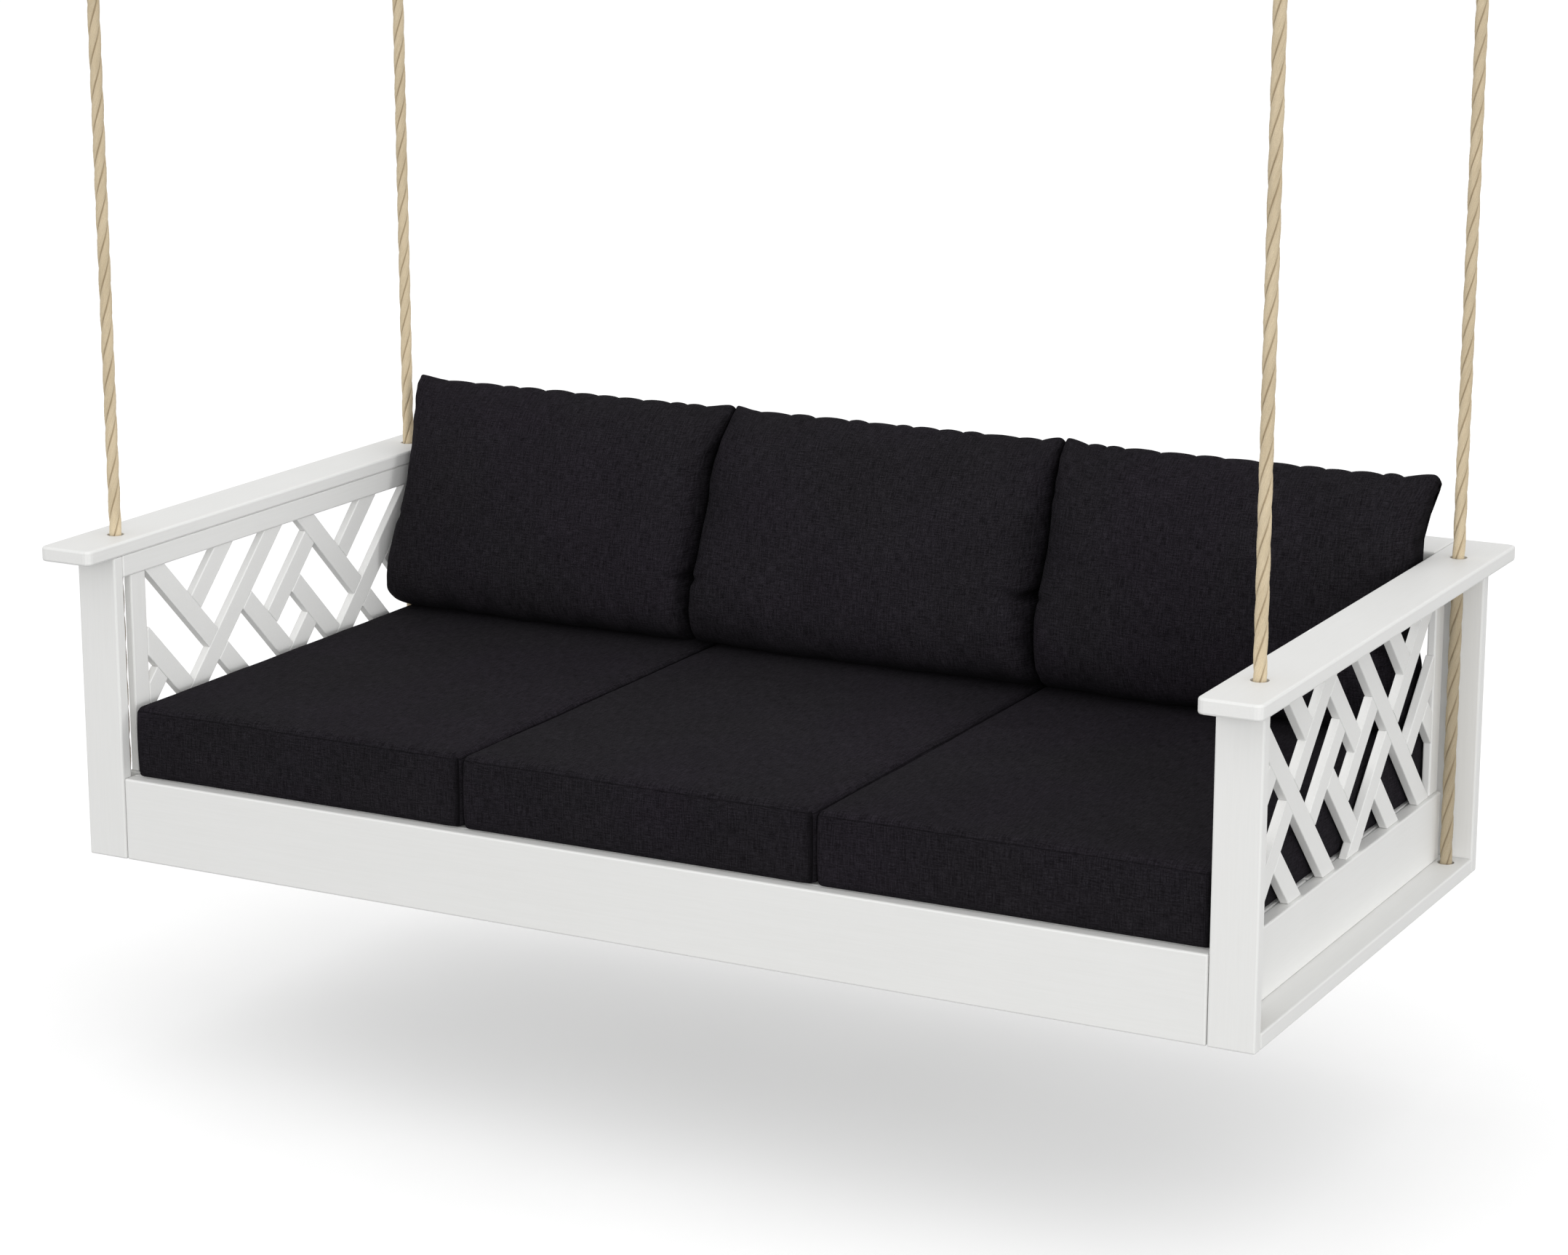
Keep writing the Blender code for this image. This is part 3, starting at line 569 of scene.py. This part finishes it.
def seizing(name, x, y, seed):
    """Twine lashed round the standing rope and its tail, under the thimble."""
    half = TAIL_SHIFT / 2
    reach = ROPE_DIAMETER / 2 + TWINE_RADIUS
    steps = 28
    route = []
    for index in range(TWINE_TURNS * steps + 1):
        angle = 2 * math.pi * index / steps
        across = half * np.clip(2.2 * math.cos(angle), -1.0, 1.0) + reach * math.cos(angle)
        height = EYE_THROAT_Z - 0.018 - 2.05 * TWINE_RADIUS * index / steps
        route.append(bench(x + reach * math.sin(angle), y + half + across, height))
    curve = bpy.data.curves.new(name, "CURVE")
    curve.dimensions = "3D"
    curve.bevel_depth = TWINE_RADIUS
    curve.bevel_resolution = 2
    curve.use_fill_caps = True
    spline = curve.splines.new("POLY")
    spline.points.add(len(route) - 1)
    for point, place in zip(spline.points, route):
        point.co = (*place, 1.0)
    shape = link(bpy.data.objects.new(name + "_curve", curve))
    solid = shape.evaluated_get(bpy.context.evaluated_depsgraph_get())
    mesh = bpy.data.meshes.new_from_object(solid)
    mesh.name = name
    bpy.data.objects.remove(shape, do_unlink=True)
    lashing = link(bpy.data.objects.new(name, mesh))
    places = np.array([tuple(v.co) for v in mesh.vertices])
    seeds = np.full(len(places), seed)
    strands = np.stack([places[:, 1] * 9, places[:, 2] * 60, seeds], axis=1)
    add_attribute(lashing, "strand", strands)
    add_attribute(lashing, "groove", np.full(len(places), 0.45))
    mesh.materials.clear()
    mesh.materials.append(ROPE)
    smooth(lashing)
    return lashing


def add_ropes():
    """Four hanging ropes with eyes, and the four lengths below the arm boards."""
    for side, sign in SIDES:
        for end, y in ENDS:
            x = sign * ROPE_X
            tag = f"{end}_{side}"
            seed = 3.7 * sign + 11.0 * y
            phase = 0.9 + 2.1 * sign + 4.0 * y
            low = smooth_route(eye_route(x, y), 0.012)
            route = [bench(x, y, ARM_PIVOT_Z - FOOT_DROP)] + [bench(*p) for p in low]
            rope, centres, length = laid_rope(f"rope_{tag}", route, phase, seed, ROPE, True)
            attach(rope, f"rope_{tag}")
            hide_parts(f"hanging_rope_{tag}")
            lashing = seizing(f"rope_seizing_{tag}", x, y, seed)
            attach(lashing, f"rope_{tag}")
            tuple(bench(x, y, ARM_PIVOT_Z))
            [tuple(p) for p in centres]
            top = ARM_PIVOT_Z - ROPE_DIAMETER / 2 - JOINT_GAP
            drop = [bench(x, y, top - top * i / LOWER_STEPS) for i in range(LOWER_STEPS + 1)]
            lower, centres, length = laid_rope(
                f"rope_below_{tag}", drop, phase + math.pi, seed + 5, SHADED_LOW_ROPE
            )
            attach(lower, "seat")
            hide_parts(f"lower_rope_{tag}")
            tuple(bench(x, y, top))
            [tuple(p) for p in centres]


# ---------------------------------------------------------------- lattice
def lattice_pieces(fall_middle, rise_middle, centre, units):
    """The crossing bars as (s low, s high, t low, t high), with s = u + z and t = z - u."""
    half = BAR / math.sqrt(2)
    far = 4.0       # past every edge of a panel

    def fall(k):
        return fall_middle + PITCH * (k - centre)

    def rise(m):
        return rise_middle - PITCH * (m - centre)

    def falling(k, low, high):
        return (fall(k) - half, fall(k) + half, low, high)

    def rising(m, low, high):
        return (low, high, rise(m) - half, rise(m) + half)

    pieces = []
    for unit in units:
        k = m = 1 + 3 * unit      # the long falling and rising bar of this unit
        pieces.append(falling(k, -far, far))
        pieces.append(rising(m, -far, fall(k) - half))
        pieces.append(rising(m, fall(k) + half, far))
        pieces.append(falling(k - 1, rise(m - 1) + half, rise(m - 3) - half))
        pieces.append(falling(k - 1, -far, rise(m) - half))
        pieces.append(falling(k + 1, rise(m) + half, far))
        pieces.append(falling(k + 1, rise(m + 3) + half, rise(m + 1) - half))
        pieces.append(rising(m - 1, fall(k - 2) + half, fall(k) - half))
        pieces.append(rising(m + 1, fall(k) + half, fall(k + 2) - half))
    return pieces


def clipped(corners, axis, limit, keep_above):
    """A convex polygon cut back to one side of a line of constant u (axis 0) or z (axis 1)."""
    kept = []
    sign = 1 if keep_above else -1
    for start, end in zip(corners, corners[1:] + corners[:1]):
        a = sign * (start[axis] - limit)
        b = sign * (end[axis] - limit)
        if a >= 0:
            kept.append(start)
        if (a > 0 > b) or (a < 0 < b):
            t = a / (a - b)
            kept.append(tuple(start[k] + t * (end[k] - start[k]) for k in (0, 1)))
    return kept


def lattice_bars(name, pieces, u_range, z_range):
    """Separate eased bars, butted with a hair's gap, standing from y = 0 back to the thickness."""
    whole = bmesh.new()
    for piece in pieces:
        s0, s1, t0, t1 = (v + sign * JOINT_GAP for v, sign in zip(piece, (1, -1, 1, -1)))
        corners = [((s - t) / 2, (s + t) / 2) for s, t in ((s0, t0), (s1, t0), (s1, t1), (s0, t1))]
        for axis, (low, high) in enumerate((u_range, z_range)):
            corners = clipped(corners, axis, low, True)
            corners = clipped(corners, axis, high, False)
        following = corners[1:] + corners[:1]
        corners = [c for c, d in zip(corners, following) if math.dist(c, d) > SHORTEST_EDGE]
        if len(corners) < 3:
            continue
        bar = bmesh.new()
        base = bar.faces.new([bar.verts.new((u, 0.0, z)) for u, z in corners])
        if base.calc_area() < SMALLEST_BAR:
            bar.free()
            continue
        grown = bmesh.ops.extrude_face_region(bar, geom=[base])
        top = [item for item in grown["geom"] if isinstance(item, bmesh.types.BMVert)]
        bmesh.ops.translate(bar, verts=top, vec=(0.0, PANEL_THICK, 0.0))
        bmesh.ops.bevel(
            bar, geom=bar.edges[:], offset=BAR_EDGE, segments=2, profile=0.5, affect="EDGES",
            clamp_overlap=True,
        )
        bmesh.ops.recalc_face_normals(bar, faces=bar.faces)
        piece_mesh = bpy.data.meshes.new("bar")
        bar.to_mesh(piece_mesh)
        bar.free()
        whole.from_mesh(piece_mesh)
        bpy.data.meshes.remove(piece_mesh)
    mesh = bpy.data.meshes.new(name)
    whole.to_mesh(mesh)
    whole.free()
    panel = link(bpy.data.objects.new(name, mesh))
    mesh.materials.append(LUMBER["bars"])
    return panel


def add_lattices():
    side_pieces = lattice_pieces(*SIDE_PATTERN)
    del side_pieces[SIDE_LEFT_OUT]
    for side, sign in SIDES:
        panel = lattice_bars(f"lattice_bars_{side}", side_pieces, SIDE_PANEL_SPAN, PANEL_HEIGHTS)
        turn = Matrix.Rotation(sign * math.pi / 2, 4, "Z")
        start = bench(sign * SIDE_PANEL_X, 0.0 if sign > 0 else SEAT_DEPTH, 0.0)
        panel.data.transform(Matrix.Translation(start) @ turn)
        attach(panel, "seat")
        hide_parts(f"side_lattice_{side}")
    back_pieces = lattice_pieces(*BACK_PATTERN)
    panel = lattice_bars("lattice_bars_back", back_pieces, BACK_PANEL_SPAN, PANEL_HEIGHTS)
    panel.data.transform(Matrix.Translation(bench(0.0, BACK_PANEL_Y, 0.0)))
    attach(panel, "seat")
    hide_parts("back_lattice")


# ---------------------------------------------------------------- seat cushions
def spaced(length, step, edge, fine):
    """Positions from -half to half, close together near both ends."""
    half = length / 2
    near = np.arange(0.0, edge, fine)
    count = max(4, round((length - 2 * edge) / step))
    middle = np.linspace(edge, length - edge, count + 1)
    return np.concatenate([near, middle, length - near[::-1]]) - half


def box_grid(xs, ys, zs):
    """The surface of a grid of lines, as points and quads."""
    numbers = {}
    points = []
    faces = []
    lines = (xs, ys, zs)

    def number(place):
        if place not in numbers:
            numbers[place] = len(points)
            points.append(tuple(line[at] for line, at in zip(lines, place)))
        return numbers[place]

    def quad(axis, level, first, second):
        """One quad across the axis; swapping first and second turns it over."""
        for a, b in ((0, 0), (1, 0), (1, 1), (0, 1)):
            place = dict(((axis, level), (first[0], first[1] + a), (second[0], second[1] + b)))
            yield number((place[0], place[1], place[2]))

    for a, b, axis in ((0, 1, 2), (0, 2, 1), (1, 2, 0)):
        last = len(lines[axis]) - 1
        near, far = (0, last) if axis == 1 else (last, 0)
        for i in range(len(lines[a]) - 1):
            for j in range(len(lines[b]) - 1):
                faces.append(tuple(quad(axis, near, (a, i), (b, j))))
                faces.append(tuple(quad(axis, far, (b, j), (a, i))))
    return np.array(points), faces


def covered(name, points, faces, cloth, painted_shade, seed):
    """A cushion's mesh in its weave, with its cloth coordinates and its painted shade in seams,
    creases and gaps.
    """
    cushion = mesh_from(name, points, faces)
    fix_normals(cushion)
    add_attribute(cushion, "cloth", cloth)
    add_attribute(cushion, "painted_shade", painted_shade)
    cushion.data.materials.append(WEAVE[int(seed) % len(WEAVE)])
    smooth(cushion)
    return cushion


def boxing_seams(points, flat, share, half, boxing, seed):
    """Sinks the boxing's top and bottom seams into the points, and returns the painted shade in
    their grooves.
    """
    perimeter = np.arctan2(share[:, 1], share[:, 0])
    along = np.where(np.abs(share[:, 0]) > np.abs(share[:, 1]), flat[:, 1], flat[:, 0])
    painted_shading = np.zeros(len(points))
    for level, depth in ((half[2] - RIM_DROP, UPPER_SEAM), (-half[2] + SEAM_RISE, LOWER_SEAM)):
        away = np.abs(flat[:, 2] - level)
        groove = np.where(boxing, bell(away, 0.0013), 0.0)
        # Painted shade in the seam grooves.
        painted_shading = np.maximum(painted_shading, 0.65 * groove * depth / UPPER_SEAM)
        fading = np.where(boxing, np.exp(-away / 0.018), 0.0)
        pucker = noise_at(
            (a / 0.014, seed * 3.1 + level, p * 0.2) for a, p in zip(along, perimeter)
        )
        inward = depth * groove + 0.0010 * fading * pucker
        for axis in (0, 1):
            at_face = np.abs(share[:, axis]) > ON_FACE
            points[at_face, axis] -= np.sign(points[at_face, axis]) * inward[at_face]
    return painted_shading


def seat_cushion(name, start, end, seed):
    """A boxed foam cushion: crowned top, soft edges, and a plain seam round its top and bottom."""
    low = Vector((start + CUSHION_GAP, SEAT_FRONT, SEAT_UNDER))
    high = Vector((end - CUSHION_GAP, SEAT_BACK, SEAT_TOP))
    size = high - low
    half = np.array(size) / 2
    xs = spaced(size.x, *TOP_SPACING)
    ys = spaced(size.y, *TOP_SPACING)
    zs = spaced(size.z, *BOXING_SPACING)
    flat, faces = box_grid(xs, ys, zs)
    share = flat / half
    boxing = np.maximum(np.abs(share[:, 0]), np.abs(share[:, 1])) > ON_FACE
    # The near right corner is slacker than the left one, so each pad tucks behind its neighbour.
    slack = smoothstep(0.90, 1.0, share[:, 0]) * smoothstep(0.92, 1.0, -share[:, 1])
    sideways = 0.009 + 0.007 * slack
    rounding = np.stack([sideways, sideways, np.full(len(flat), 0.0070)], axis=1)
    inner = np.clip(flat, -(half - rounding), half - rounding)
    out = (flat - inner) / rounding
    reach = np.linalg.norm(out, axis=1)
    reach[reach < 1e-9] = 1.0
    points = inner + rounding * out / reach[:, None]
    tall = points[:, 2] / half[2]
    # The top crowns towards the middle; the boxing bellies out and draws in between corners.
    crown = (1 - np.abs(share[:, 0]) ** 2.6) * (1 - np.abs(share[:, 1]) ** 5)
    from_edge = np.min(half[:2] - np.abs(flat[:, :2]), axis=1)
    puff = 1 - np.exp(-from_edge / 0.009)
    upper = smoothstep(0.3, 1.0, tall)
    points[:, 2] += (CROWN_HEIGHT * crown + PUFF_HEIGHT * puff) * upper
    belly = np.clip(1 - tall ** 2, 0, 1) ** 0.7
    for axis, other in ((0, 1), (1, 0)):
        face = smoothstep(0.86, 1.0, np.abs(points[:, axis]) / half[axis])
        pull = 1 - np.abs(share[:, other]) ** 2.4
        move = BELLY_DEPTH * belly - PULL_DEPTH * pull * (1 - belly)
        points[:, axis] += np.sign(points[:, axis]) * face * (move - PULL_DEPTH)
    painted_shading = boxing_seams(points, flat, share, half, boxing, seed)
    soft = value_noise(points, 0.16, seed) * 0.0020 + value_noise(points, 0.05, seed + 9) * 0.0005
    points[:, 2] += soft * upper * 0.7
    points[:, 1] += 0.45 * soft * smoothstep(0.9, 1.0, np.abs(share[:, 1]))
    # Cloth pressed against its neighbours and into the deck lies in its own shade.
    near_side = bell(half[0] - np.abs(flat[:, 0]), 0.0115)
    front = (np.abs(share[:, 1]) > ON_FACE) & (tall < 0.97)
    shade = np.where(front, near_side * np.where(share[:, 0] > 0, 1.0, 0.1), 0.0)
    low_shade = np.where(boxing, np.exp(-(flat[:, 2] + half[2]) / 0.010), 0.0)
    # Painted shade: the side pressed against the next pad and the foot on the deck are darkened.
    painted_shading = np.maximum(painted_shading, np.clip(0.9 * shade + 0.40 * low_shade, 0, 0.9))
    # Cloth coordinates: X and Y on the top, running on down the sides.
    drop = np.where(boxing, half[2] - flat[:, 2], 0.0)
    cloth = flat.copy()
    cloth[:, 2] = seed
    for axis in (0, 1):
        at_face = np.abs(share[:, axis]) > ON_FACE
        cloth[at_face, axis] += (np.sign(share[:, axis]) * drop)[at_face]
    centre = np.array(bench(*((low + high) / 2)))
    return covered(name, points + centre, faces, cloth, np.clip(painted_shading, 0, 1), seed)


def add_seat_cushions():
    for index, name in enumerate(CUSHIONS):
        start, end = SEAT_ENDS[index:index + 2]
        cushion = seat_cushion(f"seat_pad_{name}", start, end, index + 1.0)
        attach(cushion, "seat")
        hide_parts(f"seat_cushion_{name}")


# ---------------------------------------------------------------- back cushions
# The side seam's foot and top, and the outline half-way along a cushion, as (Y, Z).
SEAM_LOW = np.array((0.8850, 0.2640))
SEAM_TOP = np.array((0.9320, 0.6660))
BACK_PROFILE = (
    (0.8800, 0.2600),
    (0.8520, 0.2600),
    (0.8200, 0.2650),
    (0.7880, 0.2790),
    (0.7640, 0.3050),
    (0.7530, 0.3380),
    (0.7530, 0.3800),
    (0.7650, 0.4400),
    (0.7880, 0.5100),
    (0.8180, 0.5800),
    (0.8540, 0.6310),
    (0.8920, 0.6570),
    (0.9200, 0.6660),
    (0.9380, 0.6560),
    (0.9480, 0.6200),
    (0.9535, 0.5600),
    (0.9520, 0.4800),
    (0.9500, 0.4000),
    (0.9500, 0.3200),
    (0.9300, 0.2690),
)
# Where a cushion's side is tucked in: (which side, how far up, depth, size).
TUCKS = {
    "left": (("left", 0.42, 0.008, 0.018), ("right", 0.30, 0.010, 0.016)),
    "middle": (("left", 0.30, 0.012, 0.014), ("right", 0.385, 0.026, 0.018)),
    "right": (("left", 0.385, 0.010, 0.012), ("right", 0.35, 0.006, 0.020)),
}
# How far each cushion's left and right side stands out, at its foot, half-way and at its top.
SPREADS = {
    "left": ((0.012, -0.004, 0.009), (-0.022, -0.017, 0.010)),
    "middle": ((0.022, 0.017, -0.004), (0.001, -0.006, -0.002)),
    "right": ((-0.002, 0.007, 0.005), (0.004, -0.008, 0.012)),
}


def closed_smooth(points, count):
    """A closed Catmull-Rom loop through the points, with count evenly spaced points on it."""
    loop = [Vector((p[0], p[1], 0.0)) for p in points]
    dense = []
    for index in range(len(loop)):
        around = [loop[(index + k) % len(loop)] for k in (-1, 0, 1, 2)]
        dense.extend(catmull_rom(*around, part / 12) for part in range(12))
    dense.append(dense[0])
    even, _ = evenly(dense, 0.0004)
    pick = np.linspace(0, len(even) - 1, count + 1)[:-1]
    return np.stack([np.interp(pick, np.arange(len(even)), even[:, k]) for k in (0, 1)], axis=1)


def scallops(length, seed):
    """Where the top seam's gathers fall, as (position, height) of the arcs between them."""
    source = np.random.default_rng(int(seed * 10))
    places = [0.0]
    while places[-1] < length:
        places.append(places[-1] + source.uniform(0.032, 0.070))
    heights = source.uniform(0.0036, 0.0088, len(places))
    return np.array(places) * length / places[-1], heights


def scallop_at(x, places, heights):
    """Height of the gathered seam at x: long low arcs that meet in short notches."""
    index = np.clip(np.searchsorted(places, x, side="right") - 1, 0, len(places) - 2)
    t = (x - places[index]) / (places[index + 1] - places[index])
    return heights[index] * (np.clip(4 * t * (1 - t), 0, 1) ** 0.55 - 0.6)


def back_cushion(name, which, start, end, seed):
    """A stuffed knife-edged pillow that leans on the back rail."""
    length = end - start - CUSHION_GAP
    section = closed_smooth(BACK_PROFILE, BACK_RING)
    rise = SEAM_TOP - SEAM_LOW
    tall = np.clip((section[:, 1] - SEAM_LOW[1]) / rise[1], 0, 1)
    seam_line = SEAM_LOW + tall[:, None] * rise
    away = section - seam_line
    arc = np.cumsum(np.linalg.norm(np.diff(section, axis=0, append=section[:1]), axis=1))
    ease = np.linspace(0.0, 1.0, END_RINGS + 1)[:-1] ** 1.7 * END_SHARE
    inner = np.linspace(END_SHARE, 1 - END_SHARE, INNER_RINGS)
    stations = np.concatenate([ease, inner, 1 - ease[::-1]])
    sharp = 10.0 + 26.0 * (1 - smoothstep(0.05, 0.60, tall))
    rising = smoothstep(0.04, 0.42, tall)
    top_gap = np.linalg.norm(section - SEAM_TOP, axis=1)
    points = []
    cloth = []
    gaps = []
    for station in stations:
        side = math.copysign(1, 2 * station - 1)
        edge = abs(2 * station - 1)
        fullness = np.clip(1 - edge ** sharp, 0, 1) ** 0.5
        share = 0.04 + 0.96 * fullness * (0.94 + 0.06 * (1 - edge ** 2))
        x = length * (station - 0.5)
        ring = seam_line + away * share[:, None]
        foot, half_way, top = SPREADS[which][0 if side < 0 else 1]
        outward = foot + (half_way - foot) * rising + (top - half_way) * smoothstep(0.74, 1.0, tall)
        outward = side * outward * smoothstep(0.76, 0.99, edge)
        into = max(0.0, CORNER_RADIUS - (1 - edge) * length / 2)
        rounding = CORNER_RADIUS - math.sqrt(max(0.0, CORNER_RADIUS ** 2 - into ** 2))
        lift = CORNER_LIFT * smoothstep(0.86, 1.0, edge) * smoothstep(0.70, 1.0, tall)
        lift = lift - rounding * smoothstep(0.93, 1.0, tall)
        points.append(np.stack([x + outward, ring[:, 0], ring[:, 1] + lift], axis=1))
        cloth.append(np.stack([np.full(BACK_RING, x), arc, np.full(BACK_RING, seed)], axis=1))
        gaps.append(np.minimum(top_gap, (1 - edge) * length / 2 + 0.002))
    count = len(stations)
    points, cloth, gaps = (np.concatenate(rows) for rows in (points, cloth, gaps))
    front = np.tile(away[:, 0] < 0, count)
    heights = np.tile(tall, count)
    faces = ring_faces(count, BACK_RING)
    faces.append(tuple(range(BACK_RING)))
    faces.append(tuple(range((count - 1) * BACK_RING, count * BACK_RING)))
    move, painted_darkness = pillow_relief(points, cloth, gaps, front, heights, length, which, seed)
    # Painted shade: darker towards the side ends, along the foot where the pillow meets the seat,
    # and along the top seam.
    for shade in (
        0.75 * bell(length / 2 - np.abs(cloth[:, 0]), 0.0040),
        0.85 * (1 - smoothstep(0.0, 0.085, heights)),
        0.5 * bell(np.tile(top_gap, count), 0.0018),
    ):
        painted_darkness = np.maximum(painted_darkness, shade)
    centre = np.array(bench((start + end) / 2, 0.0, 0.0))
    return covered(name, points + move + centre, faces, cloth, painted_darkness, seed)


def pillow_relief(points, cloth, gaps, front, tall, length, which, seed):
    """Gathers along the seams, tucks in the sides, folds at the foot and slow waves, and the
    painted shade in the tucks' creases.
    """
    move = np.zeros_like(points)
    forward = np.where(front, -1.0, 1.0)
    places, heights = scallops(length, seed)
    arch = scallop_at(cloth[:, 0] + length / 2, places, heights)
    near_top = np.exp(-gaps / 0.060) * smoothstep(0.80, 0.98, tall)
    move[:, 2] += arch * near_top
    move[:, 1] += forward * 0.9 * arch * np.exp(-gaps / 0.030) * smoothstep(0.6, 0.9, tall)

    def wave(u_size, v_size, kind):
        return noise_at((c[0] / u_size, c[1] / v_size, seed * kind) for c in cloth)

    move[:, 1] += forward * 0.0016 * wave(0.020, 0.090, 2.7) * np.exp(-gaps / 0.035)
    side_gap = length / 2 - np.abs(cloth[:, 0])
    move[:, 1] += forward * 0.0040 * wave(0.080, 0.026, 8.1) * np.exp(-side_gap / 0.035)
    outward = np.sign(cloth[:, 0])
    move[:, 0] += outward * 0.0030 * wave(0.30, 0.030, 6.3) * np.exp(-side_gap / 0.012)
    low = 1 - smoothstep(0.02, 0.26, tall)
    move[:, 1] += forward * 0.0070 * wave(0.034, 0.060, 4.9) * low
    move[:, 2] += 0.0030 * wave(0.042, 0.200, 3.3) * np.where(front, low, 0.0)
    move[:, 1] += forward * 0.0040 * value_noise(points, 0.13, seed + 31)
    painted_darkness = np.zeros(len(points))
    for side, up, depth, size in TUCKS[which]:
        sign = -1.0 if side == "left" else 1.0
        at_x = sign * (length / 2 - 0.004)
        run = np.abs(cloth[:, 0] - at_x)
        height = (tall - up) * (SEAM_TOP[1] - SEAM_LOW[1])
        crease = height - 0.30 * run
        pinch = bell(crease, 0.35 * size) * np.exp(-run / (1.6 * size)) * front
        move[:, 1] += depth * pinch
        notch = bell(height, 0.45 * size) * np.exp(-run / (0.8 * size))
        move[:, 0] -= sign * 0.6 * depth * notch
        # Painted shade in the crease of each tuck.
        painted_darkness = np.maximum(painted_darkness, 0.95 * pinch)
    return move, painted_darkness


def add_back_cushions():
    for index, name in enumerate(CUSHIONS):
        cushion = back_cushion(f"back_pad_{name}", name, *BACK_ENDS[index], index + 4.0)
        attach(cushion, "seat")
        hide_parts(f"back_cushion_{name}")


# ---------------------------------------------------------------- boards and steel
STEEL_NODES = ("ceiling_hanger", "thimble", "rope_stop")
REPLACED_NODES = ("seat_cushion", "back_cushion", "hanging_rope", "lower_rope")


def dress_cad():
    """Steel on the fittings, and on each board a lumber whose grain runs along it."""
    for name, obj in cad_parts.items():
        if name.startswith(REPLACED_NODES):
            continue
        material = STEEL
        if not name.startswith(STEEL_NODES):
            low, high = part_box(name)
            sides = list(high - low)
            material = LUMBER[sides.index(max(sides))]
        for slot in obj.material_slots:
            slot.material = material


# ---------------------------------------------------------------- room
def add_floor():
    n = Nodes("floor_paint")
    speck = n.noise(n.object_point(), 3.0, 2.0, 0.5)
    colour = n.ramp(speck, [(0.3, grey(0.81)), (0.7, grey(0.83))])
    n.finish(Base_Color=colour, Roughness=0.9, Specular_IOR_Level=0.0)
    n.put(n.shader, "Emission Color", (1.0, 1.0, 1.0, 1.0))
    n.put(n.shader, "Emission Strength", FLOOR_GLOW)
    level = bench(0.0, 0.0, FLOOR_LEVEL).z
    turns = ((-1, -1), (1, -1), (1, 1), (-1, 1))
    corners = [(x * FLOOR_REACH, y * FLOOR_REACH, level) for x, y in turns]
    floor = mesh_from("floor", corners, [(0, 1, 2, 3)])
    floor.data.materials.append(n.material)
    floor.visible_diffuse = False
    floor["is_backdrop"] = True


def add_world():
    """Even white light from above, and a dimmer glow from below the horizon."""
    world = bpy.data.worlds.new("studio")
    world.use_nodes = True
    tree = world.node_tree
    back = tree.nodes["Background"]
    coordinates = tree.nodes.new("ShaderNodeTexCoord")
    split = tree.nodes.new("ShaderNodeSeparateXYZ")
    spread = tree.nodes.new("ShaderNodeMapRange")
    tree.links.new(coordinates.outputs["Generated"], split.inputs[0])
    tree.links.new(split.outputs["Z"], spread.inputs["Value"])
    sockets = ("From Min", "From Max", "To Min", "To Max")
    for socket, value in zip(sockets, (*GLOW_TURNS, *WORLD_GLOW)):
        spread.inputs[socket].default_value = value
    tree.links.new(spread.outputs["Result"], back.inputs["Strength"])
    back.inputs["Color"].default_value = (1.0, 1.0, 1.0, 1.0)
    bpy.context.scene.world = world


def add_lamps():
    for name, place, target, size, power, spread in LAMPS:
        data = bpy.data.lights.new(name, "AREA")
        data.shape = "DISK"
        data.size = size
        data.energy = power
        data.spread = math.radians(spread)
        lamp = link(bpy.data.objects.new(name, data))
        lamp.location = bench(*place)
        lamp.visible_camera = False
        aim_at(lamp, target)


# ---------------------------------------------------------------- the whole scene
LUMBER = {axis: lumber_material(f"lumber_{'xyz'[axis]}", axis) for axis in range(3)}
LUMBER["bars"] = lumber_material("lumber_bars", None)
WEAVE = [weave_material(f"weave_{letter}", index) for index, letter in enumerate("abc")]
ROPE = rope_material("tan_rope", 0.97)
# The lower ropes are the same rope with painted shade: darkened to 0.64.
SHADED_LOW_ROPE = rope_material("tan_rope_low_shaded", 0.64)
STEEL = steel_material("galvanised_steel")

view = bpy.context.scene.view_settings
view.view_transform = "Standard"
view.look = "None"
add_camera()
add_ropes()
dress_cad()
add_lattices()
add_seat_cushions()
add_back_cushions()
add_floor()
add_world()
add_lamps()

LOOKS_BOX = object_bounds()
[[list(corner) for corner in box] for box in (CAD_BOX, LOOKS_BOX)]
